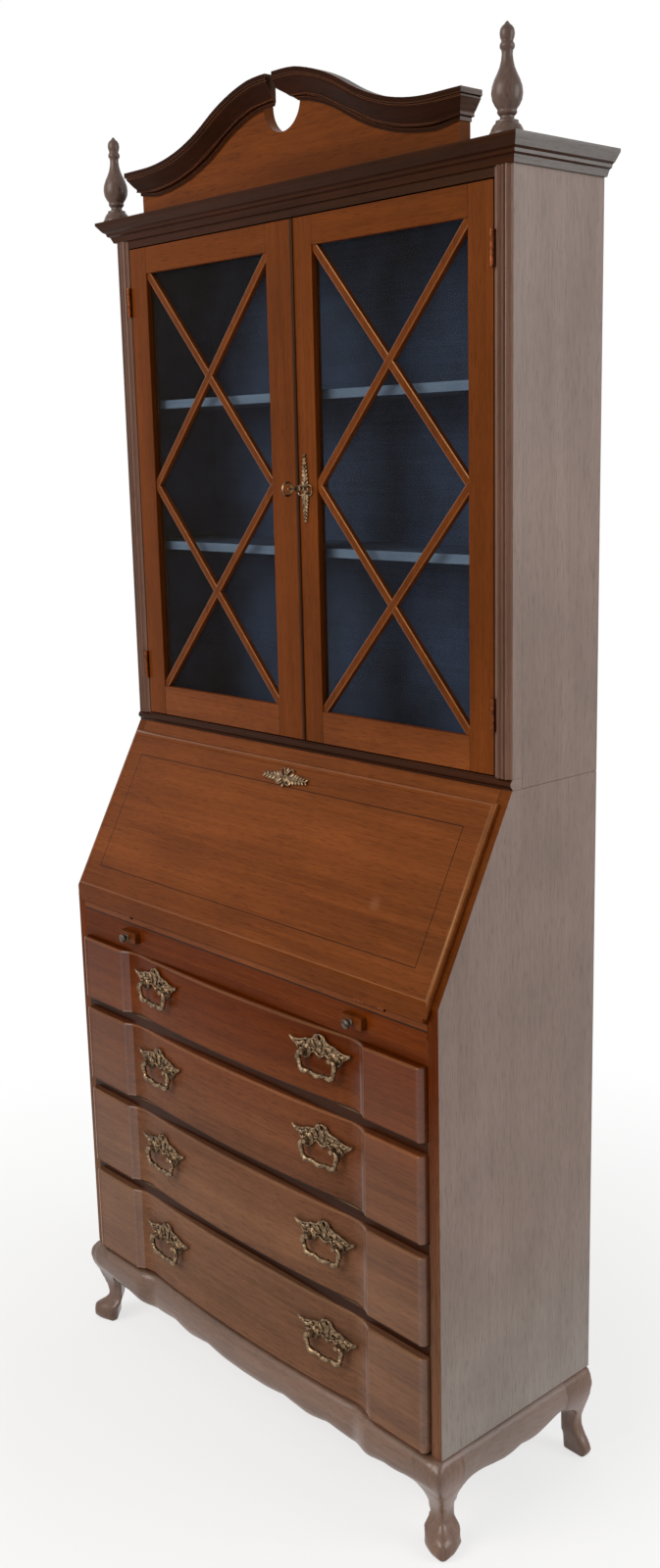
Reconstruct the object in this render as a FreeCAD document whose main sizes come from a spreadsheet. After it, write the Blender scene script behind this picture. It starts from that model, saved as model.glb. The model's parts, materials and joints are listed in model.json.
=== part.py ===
import FreeCAD
import Part
import Sketcher
import math
import os

# Bureau bookcase: a slant-front bureau with four serpentine drawers under a glazed two-door bookcase.
# Lengths are in millimetres. X runs right, Y to the back, Z up. The origin is on the floor, at the centre.

Vector = FreeCAD.Vector

DRIVING = (
    ("case_width", 860, "both cases over their sides"),
    ("bureau_depth", 328, "bureau carcass, back to front edge"),
    ("bookcase_depth", 181, "bookcase, back to front"),
    ("base_height", 152, "floor to the underside of the bureau"),
    ("slant_height", 296, "writing surface to the top of the bureau"),
    ("bookcase_height", 827, "bookcase to the top of its cornice"),
    ("side_thickness", 20, "bureau side"),
    ("upper_side_thickness", 18, "bookcase side"),
    ("board_thickness", 18, "bureau bottom and bookcase top"),
    ("bureau_top_thickness", 24, "bureau top board"),
    ("bed_thickness", 22, "writing board"),
    ("back_thickness", 8, "back boards"),
    ("rail_thickness", 16, "rails between the drawers"),
    ("rail_depth", 60, "front to back of a drawer rail"),
    ("drawer_1_height", 110, "top drawer front"),
    ("drawer_2_height", 132, "second drawer front"),
    ("drawer_3_height", 137, "third drawer front"),
    ("drawer_4_height", 150, "bottom drawer front"),
    ("front_clearance", 1, "drawer front to rail"),
    ("front_side_gap", 2, "drawer front to side"),
    ("front_foot_gap", 3, "bottom drawer front above the base"),
    ("block_proud", 12, "drawer end block in front of the carcass"),
    ("block_width", 113, "drawer end block"),
    ("cove_width", 23, "cove between end block and swell"),
    ("swell_proud", 11.5, "middle of the drawer swell in front of its ends"),
    ("front_stock", 14, "drawer front behind the carcass edge"),
    ("front_rounding", 10, "rounded drawer front end"),
    ("box_side_thickness", 10, "drawer side and back"),
    ("box_bottom_thickness", 6, "drawer bottom"),
    ("box_side_gap", 1, "drawer side to carcass side"),
    ("box_rise", 0.3, "drawer box above its runner"),
    ("box_top_gap", 8, "drawer box below the top of its front"),
    ("box_back_gap", 14, "drawer box to the back board"),
    ("runner_width", 16, "drawer runner"),
    ("loper_width", 42, "loper across"),
    ("loper_thickness", 18, "loper, up and down"),
    ("loper_inset", 139, "loper centre from the inside of the bureau side"),
    ("loper_board_thickness", 18.4, "board under the lopers"),
    ("loper_gap", 0.3, "loper to its guides"),
    ("loper_length", 290, "loper inside the case"),
    ("loper_proud", 10, "loper end in front of the carcass"),
    ("loper_knob_length", 14, "knob in front of the loper"),
    ("loper_knob_radius", 7.5, "loper knob"),
    ("guide_width", 12, "strip beside a loper"),
    ("loper_rail_depth", 20, "rail blocks between the lopers"),
    ("fall_rebate", 12, "part of the fall between the sides"),
    ("fall_lip", 10, "part of the fall over the carcass edges"),
    ("fall_overlap", 7, "lip over the carcass edges"),
    ("fall_seat_gap", 0.3, "lip to carcass edge"),
    ("fall_edge_gap", 1, "rebate to side and top"),
    ("fall_hinge_offset", 0.3, "fall hinge line in front of the carcass"),
    ("fall_foot_gap", 0.6, "fall bottom edge to the hinge line"),
    ("fall_foot_square", 9, "square part of the fall bottom edge"),
    ("fall_hinge_length", 60, "fall hinge along its pin"),
    ("fall_hinge_leaf", 24, "fall hinge leaf"),
    ("fall_hinge_inset", 110, "fall hinge middle from the inside of the bureau side"),
    ("fall_knuckle_radius", 3, "fall hinge knuckle"),
    ("fall_lock_width", 64, "fall lock case"),
    ("fall_lock_height", 36, "fall lock case"),
    ("fall_lock_depth", 9, "fall lock case"),
    ("fall_plate_width", 105, "fall escutcheon"),
    ("fall_plate_height", 35, "fall escutcheon"),
    ("fall_plate_drop", 29, "fall escutcheon middle below the fall top"),
    ("plate_thickness", 2, "pierced brass plates"),
    ("leaf_thickness", 1.1, "hinge leaves"),
    ("knuckle_gap", 0.3, "room round a hinge knuckle"),
    ("pin_radius", 1.2, "hinge pins"),
    ("pin_gap", 0.05, "hinge pin to knuckle bore"),
    ("pull_side_gap", 5, "pull back plate to the end of the drawer swell"),
    ("pull_rise", 14, "pull axis above the drawer middle"),
    ("pull_width", 132, "pull back plate"),
    ("pull_height", 40, "pull back plate"),
    ("pull_seat_gap", 0.1, "back plate to drawer front"),
    ("post_spread", 28, "pull post from the plate middle"),
    ("post_radius", 4.5, "pull post"),
    ("post_length", 13, "pull post in front of its plate"),
    ("bail_forward", 8.5, "bail pivot in front of its plate"),
    ("bail_radius", 2.4, "bail bar"),
    ("bail_arm", 10, "bail arm outside its post"),
    ("bail_drop", 31, "bail below its pivot"),
    ("bail_bend", 5, "bail corner"),
    ("pigeonhole_depth", 140, "pigeonholes, front to back"),
    ("pigeonhole_board", 8, "pigeonhole boards"),
    ("pigeonhole_shelf_rise", 110, "pigeonhole shelf above the writing surface"),
    ("front_frame_thickness", 20, "bookcase doors, pilasters and rails"),
    ("pilaster_width", 31, "bookcase corner pilaster"),
    ("pilaster_bead_radius", 16, "round of the pilaster bead"),
    ("pilaster_bead_width", 24, "pilaster bead"),
    ("base_rail_height", 15.5, "rail under the doors"),
    ("ledge_proud", 5, "moulded ledge on the rail under the doors"),
    ("door_gap", 1.5, "doors to the rails above and below"),
    ("door_top_drop", 46, "top of the doors below the cornice top"),
    ("door_stile_width", 44, "outer door stile"),
    ("door_top_rail", 41, "door top rail"),
    ("door_bottom_rail", 49, "door bottom rail"),
    ("meeting_stile", 51, "glass edge from the middle of the case"),
    ("meeting_offset", 5, "meeting line to the right of the middle"),
    ("hinge_gap", 2.4, "door edge to pilaster and to the other door"),
    ("door_hinge_length", 46, "door hinge along its pin"),
    ("door_hinge_inset", 83, "door hinge middle from the door end"),
    ("door_hinge_leaf", 16, "door hinge leaf behind the door face"),
    ("door_knuckle_radius", 3.4, "door hinge knuckle"),
    ("door_knuckle_proud", 3.7, "door hinge pin in front of the door face"),
    ("glass_thickness", 3, "door glass"),
    ("glass_rebate", 6, "glass behind the frame edge"),
    ("glass_set_back", 10, "glass behind the door face"),
    ("glass_gap", 0.3, "glass to its rebate"),
    ("bar_width", 13, "glazing bar"),
    ("bar_thickness", 8, "glazing bar"),
    ("shelf_thickness", 14, "bookcase shelves"),
    ("upper_shelf_rise", 527, "upper shelf above the foot of the bookcase"),
    ("lower_shelf_rise", 296, "lower shelf above the foot of the bookcase"),
    ("shelf_groove", 6, "shelf housing in the sides"),
    ("shelf_set_back", 8, "shelf front behind the doors"),
    ("shelf_gap", 0.2, "shelf to its groove"),
    ("door_plate_width", 30, "door escutcheon"),
    ("door_plate_height", 94, "door escutcheon"),
    ("key_offset", 26, "key from the middle of the case"),
    ("key_rise", 399, "key above the foot of the bookcase"),
    ("key_shank_radius", 2.8, "key shank"),
    ("key_hole_gap", 0.4, "key shank to its hole"),
    ("key_reach", 33, "key shank in front of the door"),
    ("key_bow_radius", 12, "key bow"),
    ("key_bow_bar", 2.6, "key bow ring"),
    ("lock_width", 34, "door lock case"),
    ("lock_height", 52, "door lock case"),
    ("lock_depth", 10, "door lock case"),
    ("cornice_height", 32, "cornice"),
    ("cornice_proud", 25, "cornice in front of the case"),
    ("pediment_inset", 85, "pediment board end inside the case side"),
    ("pediment_thickness", 20, "pediment board"),
    ("pediment_proud", 5, "pediment board in front of the bookcase"),
    ("scroll_proud", 20, "scroll moulding in front of its board"),
    ("scroll_height", 35, "scroll moulding"),
    ("scroll_low", 65, "outer end of the scroll above the cornice"),
    ("scroll_high", 152, "crest of the scroll above the cornice"),
    ("scroll_crest", 10, "crest of the scroll's bend beyond the middle of the case"),
    ("scroll_level", 30, "level stretch at the outer end of the scroll"),
    ("scroll_slot", 24, "slot between the scrolls"),
    ("pediment_hole_radius", 40, "round hole in the pediment"),
    ("pediment_hole_rise", 112, "hole centre above the cornice"),
    ("finial_height", 131, "finials"),
    ("finial_radius", 20, "finial belly"),
    ("finial_foot_radius", 22, "finial foot"),
    ("finial_inset", 8, "finial centre inside the case side"),
    ("finial_proud", 3, "finial centre in front of the bookcase"),
    ("knee_width", 62, "leg under the case"),
    ("knee_drop", 52, "leg knee block"),
    ("knee_side", 9, "knee outside the case side"),
    ("knee_front", 16, "knee in front of the case"),
    ("ankle_inset", 10, "ankle inside the case faces"),
    ("ankle_width", 28, "leg at its ankle"),
    ("foot_spread", 9, "toe of the pad foot outside the case faces"),
    ("foot_width", 46, "pad foot"),
    ("back_foot_depth", 18, "back foot, front to back"),
    ("back_ankle_depth", 22, "back ankle, front to back"),
    ("apron_height", 62, "aprons at their lowest"),
    ("apron_stock", 24, "apron behind the case face"),
    ("apron_proud", 6, "front apron in front of the drawers"),
    ("side_apron_proud", 8, "side apron outside the case"),
    ("back_rail_height", 50, "base back rail"),
)

document = FreeCAD.newDocument("bureau_bookcase")
sheet = document.addObject("Spreadsheet::Sheet", "sizes")


class Size:
    """A number that remembers the sheet formula it comes from."""

    def __init__(self, number, formula):
        self.number = float(number)
        self.formula = formula

    def joined(self, other, mark, number):
        return Size(number, "(" + self.formula + " " + mark + " " + other.formula + ")")

    def __add__(self, other):
        other = sized(other)
        return self.joined(other, "+", self.number + other.number)

    def __sub__(self, other):
        other = sized(other)
        return self.joined(other, "-", self.number - other.number)

    def __mul__(self, other):
        other = sized(other)
        return self.joined(other, "*", self.number * other.number)

    def __truediv__(self, other):
        other = sized(other)
        return self.joined(other, "/", self.number / other.number)

    def __neg__(self):
        return Size(-self.number, "(0 - " + self.formula + ")")

    def __radd__(self, other):
        return sized(other) + self

    def __rsub__(self, other):
        return sized(other) - self

    def __rmul__(self, other):
        return sized(other) * self


def sized(value):
    """A plain number as a size."""
    if isinstance(value, Size):
        return value
    return Size(value, repr(float(value)))


def root(size):
    """Square root of a size."""
    return Size(math.sqrt(size.number), "sqrt(" + size.formula + ")")


def sine(angle):
    """Sine of an angle in degrees."""
    return Size(math.sin(math.radians(angle.number)), "sin(" + angle.formula + " * 1 deg)")


def cosine(angle):
    """Cosine of an angle in degrees."""
    return Size(math.cos(math.radians(angle.number)), "cos(" + angle.formula + " * 1 deg)")


def arc_tangent(ratio):
    """Angle in degrees with the given tangent."""
    return Size(math.degrees(math.atan(ratio.number)), "(atan(" + ratio.formula + ") / 1 deg)")


def arc_sine(ratio):
    """Angle in degrees with the given sine."""
    return Size(math.degrees(math.asin(ratio.number)), "(asin(" + ratio.formula + ") / 1 deg)")


def sagitta_radius(half_chord, sagitta):
    """Radius of the arc over a chord, from half the chord and the arc's rise."""
    return (half_chord * half_chord + sagitta * sagitta) / (2 * sagitta)


class Sizes:
    """The sheet's named sizes."""


size = Sizes()
rows = 0


def enter(name, content, meaning):
    """Write one named cell of the sheet."""
    global rows
    rows += 1
    sheet.set("A" + str(rows), meaning)
    sheet.set("B" + str(rows), content)
    sheet.setAlias("B" + str(rows), name)


def derive(name, value, meaning):
    """Keep a worked-out size in the sheet under its own name."""
    enter(name, "=" + value.formula.replace("sizes.", ""), meaning)
    return Size(value.number, "sizes." + name)


for driving_name, driving_number, driving_meaning in DRIVING:
    enter(driving_name, str(driving_number), driving_meaning)
    setattr(size, driving_name, Size(driving_number, "sizes." + driving_name))

# Main planes

half = derive("half_width", size.case_width / 2, "case side from the middle")
total_depth = size.bureau_depth + size.loper_proud + size.loper_knob_length
back = derive("back_plane", total_depth / 2, "back of both cases")
front = derive("front_plane", back - size.bureau_depth, "bureau carcass front edge")
upper_front = derive("upper_front_plane", back - size.bookcase_depth, "bookcase front")
inner_half = derive("inner_half", half - size.side_thickness, "inside of a bureau side")
back_face = derive("back_face", back - size.back_thickness, "inside of the back boards")
upper_inner = derive("upper_inner", half - size.upper_side_thickness, "inside of a bookcase side")

# Heights from the floor: drawers and rails from the bottom one up, lopers, writing board, slant, bookcase

drawer_heights = {4: size.drawer_4_height, 3: size.drawer_3_height, 2: size.drawer_2_height,
                  1: size.drawer_1_height}
drawer_foot = {}
rail_foot = {}
level = size.base_height + size.front_foot_gap
for number in (4, 3, 2, 1):
    drawer_foot[number] = derive("drawer_%d_foot" % number, level, "floor to a drawer front")
    rail_foot[number] = derive("rail_%d_foot" % number,
                               drawer_foot[number] + drawer_heights[number] + size.front_clearance,
                               "floor to the rail over a drawer")
    level = rail_foot[number] + size.rail_thickness + size.front_clearance
loper_board_top = derive("loper_board_top", rail_foot[1] + size.loper_board_thickness,
                         "top of the loper board")
loper_foot = derive("loper_foot", loper_board_top + size.loper_gap, "underside of a loper")
loper_top = loper_foot + size.loper_thickness
bed_under = derive("bed_under", loper_top + size.loper_gap, "underside of the writing board")
writing_height = derive("writing_height", bed_under + size.bed_thickness, "floor to the writing surface")
bureau_height = derive("bureau_height", writing_height + size.slant_height, "floor to the top of the bureau")
case_top = derive("case_top", bureau_height + size.bookcase_height, "floor to the top of the cornice")
cornice_foot = derive("cornice_foot", case_top - size.cornice_height, "underside of the cornice")
key_height = derive("key_height", bureau_height + size.key_rise, "floor to the key")

# Places across the case

loper_spread = derive("loper_spread", inner_half - size.loper_inset, "loper centre from the middle")
fall_hinge_spread = derive("fall_hinge_spread", inner_half - size.fall_hinge_inset,
                           "fall hinge from the middle")

# The slant: its plane passes the bureau's top edge and stays one rebate outside the fall's hinge line.

hinge_line = derive("hinge_line", front - size.fall_hinge_offset, "fall hinge line")
plane_offset = size.fall_rebate - size.fall_seat_gap
hinge_run = upper_front - hinge_line
hinge_rise = bureau_height - writing_height
hinge_reach = root(hinge_run * hinge_run + hinge_rise * hinge_rise)
slant = derive("slant", arc_tangent(hinge_run / hinge_rise) + arc_sine(plane_offset / hinge_reach),
               "fall from the vertical, degrees")
slant_sine = derive("slant_sine", sine(slant), "sine of the slant")
slant_cosine = derive("slant_cosine", cosine(slant), "cosine of the slant")
slant_foot = derive("slant_foot",
                    bureau_height - (upper_front - front) * slant_cosine / slant_sine,
                    "floor to the foot of the slant")
top_under = bureau_height - size.bureau_top_thickness
top_under_along = (top_under - writing_height - plane_offset * slant_sine) / slant_cosine
fall_height = derive("fall_height", top_under_along - size.fall_edge_gap + size.fall_overlap,
                     "fall along the slant")

nodes = []


def bind(thing, path, value):
    """Tie a property to the sheet."""
    thing.setExpression(path, sized(value).formula)


def place(thing, x, y, z):
    """Tie a position to the sheet."""
    thing.Placement.Base = Vector(sized(x).number, sized(y).number, sized(z).number)
    bind(thing, "Placement.Base.x", x)
    bind(thing, "Placement.Base.y", y)
    bind(thing, "Placement.Base.z", z)
    return thing


def turn(thing, axis, angle):
    """Turn a placed thing about an axis through its own position."""
    thing.Placement.Rotation = FreeCAD.Rotation(axis, sized(angle).number)
    bind(thing, "Placement.Rotation.Angle", angle)
    return thing


def keep(thing):
    """Count a thing as a sub-part of its own."""
    nodes.append(thing)
    return thing


def block(name, x, y, z):
    """A board between two values on each axis."""
    made = document.addObject("Part::Box", name)
    bind(made, "Length", x[1] - x[0])
    bind(made, "Width", y[1] - y[0])
    bind(made, "Height", z[1] - z[0])
    return place(made, x[0], y[0], z[0])


def rod(name, radius, length, x, y, z, axis=None):
    """A cylinder from a point along +Z, or turned a quarter about X (to run along -Y) or Y (along +X)."""
    made = document.addObject("Part::Cylinder", name)
    bind(made, "Radius", radius)
    bind(made, "Height", length)
    place(made, x, y, z)
    if axis is not None:
        turn(made, axis, 90)
    return made


ABOUT_X = Vector(1, 0, 0)
ABOUT_Y = Vector(0, 1, 0)
ABOUT_Z = Vector(0, 0, 1)


def group(name, members):
    """Several separate solids under one name."""
    made = document.addObject("Part::Compound", name)
    made.Links = members
    return made


def cut(name, body, tools):
    """A body less one or more tools."""
    made = document.addObject("Part::Cut", name)
    made.Base = body
    made.Tool = tools[0] if len(tools) == 1 else group(name + "_tools", tools)
    return made


def fuse(name, members):
    """Several overlapping or touching bodies as one solid."""
    made = document.addObject("Part::MultiFuse", name)
    made.Shapes = members
    made.Refine = True
    return made


def common(name, first, second):
    """What two bodies share."""
    made = document.addObject("Part::Common", name)
    made.Base = first
    made.Tool = second
    return made


def mirrored(name, source):
    """The same thing on the other side of the case."""
    made = document.addObject("Part::Mirroring", name)
    made.Source = source
    made.Base = Vector(0, 0, 0)
    made.Normal = Vector(1, 0, 0)
    return made


def arc_between(start, finish, radius, turning):
    """The shorter arc between two points, turning left (1) or right (-1)."""
    chord = finish - start
    middle = (start + finish) * 0.5
    left = Vector(-chord.y, chord.x, 0).normalize()
    to_centre = math.sqrt(max(radius * radius - chord.Length ** 2 / 4, 0))
    centre = middle + left * (to_centre * turning)
    first, last = (start, finish) if turning > 0 else (finish, start)
    angle_of = [math.atan2(p.y - centre.y, p.x - centre.x) for p in (first, last)]
    return Part.ArcOfCircle(Part.Circle(centre, Vector(0, 0, 1), radius), angle_of[0], angle_of[1])


def outline(body, plane, corners):
    """A closed sketch. A corner is (u, v), or (u, v, radius, turning) where an arc leaves it."""
    sketch = body.newObject("Sketcher::SketchObject", body.Name + "_outline")
    for feature in body.Origin.OriginFeatures:
        if feature.Role == plane:
            sketch.AttachmentSupport = [(feature, "")]
    sketch.MapMode = "FlatFace"
    count = len(corners)
    points = [Vector(sized(c[0]).number, sized(c[1]).number, 0) for c in corners]
    ends = []
    for i in range(count):
        following = points[(i + 1) % count]
        if len(corners[i]) == 2:
            edge = sketch.addGeometry(Part.LineSegment(points[i], following))
            ends.append((edge, 1, 2))
        else:
            radius, turning = sized(corners[i][2]), corners[i][3]
            edge = sketch.addGeometry(arc_between(points[i], following, radius.number, turning))
            ends.append((edge, 1, 2) if turning > 0 else (edge, 2, 1))
    for i in range(count):
        edge, begins, finishes = ends[i]
        next_edge, next_begins, _ = ends[(i + 1) % count]
        sketch.addConstraint(Sketcher.Constraint("Coincident", edge, finishes, next_edge, next_begins))
    for i in range(count):
        edge, begins, _ = ends[i]
        for kind, value in (("DistanceX", sized(corners[i][0])), ("DistanceY", sized(corners[i][1]))):
            held = sketch.addConstraint(Sketcher.Constraint(kind, -1, 1, edge, begins, value.number))
            sketch.setExpression("Constraints[" + str(held) + "]", value.formula)
        if len(corners[i]) > 2:
            radius = sized(corners[i][2])
            held = sketch.addConstraint(Sketcher.Constraint("Radius", edge, radius.number))
            sketch.setExpression("Constraints[" + str(held) + "]", radius.formula)
    return sketch


def padded(name, plane, corners, length):
    """A sketched outline carried straight out of its plane: +Z, +X or -Y."""
    body = document.addObject("PartDesign::Body", name)
    sketch = outline(body, plane, corners)
    pad = body.newObject("PartDesign::Pad", name + "_pad")
    pad.Profile = sketch
    bind(pad, "Length", length)
    sketch.Visibility = False
    return body


def turned(name, corners):
    """A sketched half outline turned about Z."""
    body = document.addObject("PartDesign::Body", name)
    sketch = outline(body, "XZ_Plane", corners)
    lathe = body.newObject("PartDesign::Revolution", name + "_lathe")
    lathe.Profile = sketch
    lathe.ReferenceAxis = (sketch, ["V_Axis"])
    lathe.Angle = 360
    return body


def shaped(name, shape):
    """A sub-part whose shape is worked out below from the sheet's sizes."""
    made = document.addObject("Part::Feature", name)
    made.Shape = shape
    return made


def both_sides(name, maker):
    """A left and a right solid from one maker that takes a name and a side (-1 or 1)."""
    return group(name, [maker(name + "_left", -1), maker(name + "_right", 1)])


def span(side, near, far):
    """Two X values on one side of the middle, in rising order."""
    return (near, far) if side > 0 else (-far, -near)


# Base: cabriole legs, aprons and back rail

def flat_number(value):
    """A size as a plain number, for shapes that no feature makes."""
    return sized(value).number


def smooth_edge(points):
    """A smooth upright edge through points given as (out, up)."""
    curve = Part.BSplineCurve()
    curve.interpolate([Vector(out, 0, up) for out, up in points])
    return curve.toShape()


def leg_slab(outer, inner, heading, reach):
    """A slab with a leg's side view, facing out along a heading in degrees and as thick as the reach."""
    head = (inner[-1][0], flat_number(size.base_height))
    straight = [(outer[-1], inner[0]), (inner[-1], head), (head, outer[0])]
    edges = [smooth_edge(outer), smooth_edge(inner)]
    edges += [Part.makeLine(Vector(a[0], 0, a[1]), Vector(b[0], 0, b[1])) for a, b in straight]
    slab = Part.Face(Part.Wire(Part.__sortEdges__(edges)))
    slab.translate(Vector(0, reach / 2, 0))
    slab = slab.extrude(Vector(0, -reach, 0))
    slab.rotate(Vector(0, 0, 0), Vector(0, 0, 1), heading)
    return slab


def leg_outer(knee):
    """Outer edge of a leg from the case down over knee, ankle and toe to the floor."""
    top = flat_number(size.base_height)
    ankle = -flat_number(size.ankle_inset)
    toe = flat_number(size.foot_spread)
    return ((0, top), (knee, top * 0.87), (knee * 0.45, top * 0.66), (ankle * 0.6, top * 0.48),
            (ankle, top * 0.36), (ankle * 0.3, top * 0.23), (toe, top * 0.10), (toe * 0.4, 0))


def leg_inner(foot, ankle, knee):
    """Inner edge of a leg from the floor up to its knee block."""
    top = flat_number(size.base_height)
    block_foot = top - flat_number(size.knee_drop)
    return ((foot, 0), (foot, top * 0.06), (ankle, top * 0.30), (ankle * 1.08, top * 0.50),
            (knee * 0.80, block_foot * 0.96), (knee, block_foot))


def standing_legs():
    """Two front legs, ridged at the corner and cut off behind it, and two flat-backed back legs."""
    top = flat_number(size.base_height)
    reach = flat_number(size.knee_width) * 4
    foot = flat_number(size.foot_spread - size.foot_width)
    ankle = -flat_number(size.ankle_inset + size.ankle_width)
    knee = -flat_number(size.knee_width)
    inner = leg_inner(foot, ankle, knee)
    side_view = leg_slab(leg_outer(flat_number(size.knee_side)), inner, 0, reach)
    front_view = leg_slab(leg_outer(flat_number(size.knee_front)), inner, -90, reach)
    diagonal = math.sqrt(2)
    corner_foot = flat_number(2 * size.foot_spread - size.foot_width) / diagonal + foot / 4
    corner_ankle = -flat_number(2 * size.ankle_inset + size.ankle_width) / diagonal
    corner_inner = leg_inner(corner_foot, corner_ankle, knee * diagonal)
    corner_view = leg_slab(((reach, top), (reach, 0)), corner_inner, -45, reach)
    front_leg = side_view.common(front_view).common(corner_view)
    front_leg.translate(Vector(half.number, front.number, 0))
    back_inner = leg_inner(flat_number(size.back_foot_depth), flat_number(size.back_ankle_depth), -knee)
    back_view = leg_slab(((0, top), (0, 0)), tuple((-d, z) for d, z in back_inner), 90, reach)
    back_leg = side_view.common(back_view)
    back_leg.translate(Vector(half.number, back.number, 0))
    right = [front_leg, back_leg]
    left = [one.mirror(Vector(0, 0, 0), Vector(1, 0, 0)) for one in right]
    return Part.makeCompound([one.Solids[0] for one in right + left])


keep(shaped("legs", standing_legs()))

front_half = inner_half - size.front_side_gap
block_edge = front_half - size.block_width
recess_edge = block_edge - size.cove_width
cove_radius = sagitta_radius(size.cove_width, size.block_proud)
swell_radius = derive("swell_radius", sagitta_radius(recess_edge, size.swell_proud), "drawer swell")


def serpentine(recess, end_half, end_y, rounding):
    """Plan of a serpentine front, from its back right corner round to its back left corner."""
    block_y = recess - size.block_proud
    corners = [(end_half, end_y)]
    if rounding is None:
        corners.append((end_half, block_y))
    else:
        corners.append((end_half, block_y + rounding, rounding, -1))
        corners.append((end_half - rounding, block_y))
    corners.append((block_edge, block_y, cove_radius, 1))
    corners.append((recess_edge, recess, swell_radius, -1))
    corners.append((-recess_edge, recess, cove_radius, 1))
    corners.append((-block_edge, block_y))
    if rounding is None:
        corners.append((-end_half, block_y))
    else:
        corners.append((-end_half + rounding, block_y, rounding, -1))
        corners.append((-end_half, block_y + rounding))
    corners.append((-end_half, end_y))
    return corners


apron_end = half - size.knee_width
apron_foot = size.base_height - size.apron_height
apron_plan = padded("front_apron_plan", "XY_Plane",
                    serpentine(front - size.apron_proud, apron_end, front + size.apron_stock, None),
                    size.apron_height)
place(apron_plan, 0, 0, apron_foot)
arch_foot = size.base_height - size.knee_drop
cusp_places = [(0.82, 0.22), (0.56, 0.09), (0.30, 0.20)]
cusps = [(apron_end * part, apron_foot + size.apron_height * rise) for part, rise in cusp_places]


def lobe(first, second, sagitta):
    """Radius of a shallow arc between two corners of an apron's lower edge."""
    run = first[0] - second[0]
    fall = first[1] - second[1]
    return sagitta_radius(root(run * run + fall * fall) / 2, sized(sagitta))


def mirror_corners(corners):
    """A right-hand run of plain corners and the same run on the left, as one list."""
    return corners + [(-u, v) for u, v in reversed(corners)]


right_run = [(apron_end, arch_foot)] + cusps
run = mirror_corners(right_run)
apron_edge = []
for first, second, sagitta, turning in zip(run, run[1:], (5, 3, 5, 12, 5, 3, 5), (1, -1, -1, -1, -1, -1, 1)):
    apron_edge.append((first[0], first[1], lobe(first, second, sagitta), turning))
apron_edge.append(run[-1])
apron_edge.append((-apron_end, size.base_height))
apron_edge.append((apron_end, size.base_height))
apron_depth = size.apron_stock + size.apron_proud + size.block_proud + size.swell_proud
apron_view = padded("front_apron_view", "XZ_Plane", apron_edge, apron_depth)
place(apron_view, 0, front + size.apron_stock, 0)
keep(common("front_apron", apron_plan, apron_view))

side_apron_length = size.bureau_depth - 2 * size.knee_width
apron_bulge = [(inner_half, apron_foot), (half + size.side_apron_proud / 2, apron_foot),
               (half + size.side_apron_proud, apron_foot + size.apron_height / 2,
                size.apron_height, 1),
               (half, size.base_height), (inner_half, size.base_height)]


def side_apron(name, side):
    """A bulging side apron with a scalloped lower edge."""
    if side < 0:
        return mirrored(name, side_apron(name + "_pattern", 1))
    bulge = padded(name + "_bulge", "XZ_Plane", apron_bulge, side_apron_length)
    place(bulge, 0, back - size.knee_width, 0)
    quarter = side_apron_length / 4
    near, far = front + size.knee_width, back - size.knee_width
    low = apron_foot + size.apron_height * 0.08
    stops = [(near, arch_foot), (near + quarter, low), (near + 2 * quarter, low), (near + 3 * quarter, low),
             (far, arch_foot)]
    edge = []
    for first, second, sagitta, turning in zip(stops, stops[1:], (3, 4, 4, 3), (-1, 1, 1, -1)):
        edge.append((first[0], first[1], lobe(first, second, sagitta), turning))
    edge += [stops[-1], (far, size.base_height), (near, size.base_height)]
    view = padded(name + "_view", "YZ_Plane", edge, size.side_thickness + 2 * size.side_apron_proud)
    place(view, inner_half, 0, 0)
    return common(name, bulge, view)


keep(group("base_rails", [
    side_apron("side_apron_left", -1),
    side_apron("side_apron_right", 1),
    block("base_back_rail", (-apron_end, apron_end), (back - size.side_thickness, back),
          (size.base_height - size.back_rail_height, size.base_height))]))

# Bureau carcass

side_profile = [(back, size.base_height), (back, bureau_height), (upper_front, bureau_height),
                (front, slant_foot), (front, size.base_height)]


def bureau_side(name, side):
    """A side board with a slanting front edge over the drawers."""
    panel = padded(name, "YZ_Plane", side_profile, size.side_thickness)
    return place(panel, inner_half if side > 0 else -half, 0, 0)


keep(both_sides("bureau_sides", bureau_side))
top_profile = [(back_face, top_under), (back_face, bureau_height), (upper_front, bureau_height),
               (upper_front - size.bureau_top_thickness * slant_sine / slant_cosine, top_under)]
keep(place(padded("bureau_top", "YZ_Plane", top_profile, 2 * inner_half), -inner_half, 0, 0))
front_back_plane = front + size.front_stock
bottom_top = size.base_height + size.board_thickness
keep(block("bureau_bottom", (-inner_half, inner_half), (front_back_plane + size.front_clearance, back_face),
           (size.base_height, bottom_top)))
keep(block("bureau_back", (-inner_half, inner_half), (back_face, back), (size.base_height, bureau_height)))

# Rails and runners between the drawers

drawer_seat = {4: bottom_top}
rails = []
runners = []
for number in (4, 3, 2):
    rail_span = (rail_foot[number], rail_foot[number] + size.rail_thickness)
    rails.append(block("drawer_rail_%d" % number, (-inner_half, inner_half), (front, front + size.rail_depth),
                       rail_span))
    for side, word in ((-1, "left"), (1, "right")):
        runners.append(block("drawer_runner_%d_%s" % (number, word),
                             span(side, inner_half - size.runner_width, inner_half),
                             (front + size.rail_depth, back_face), rail_span))
    drawer_seat[number - 1] = rail_span[1]

# Lopers slide between the loper board and the writing board.

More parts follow.
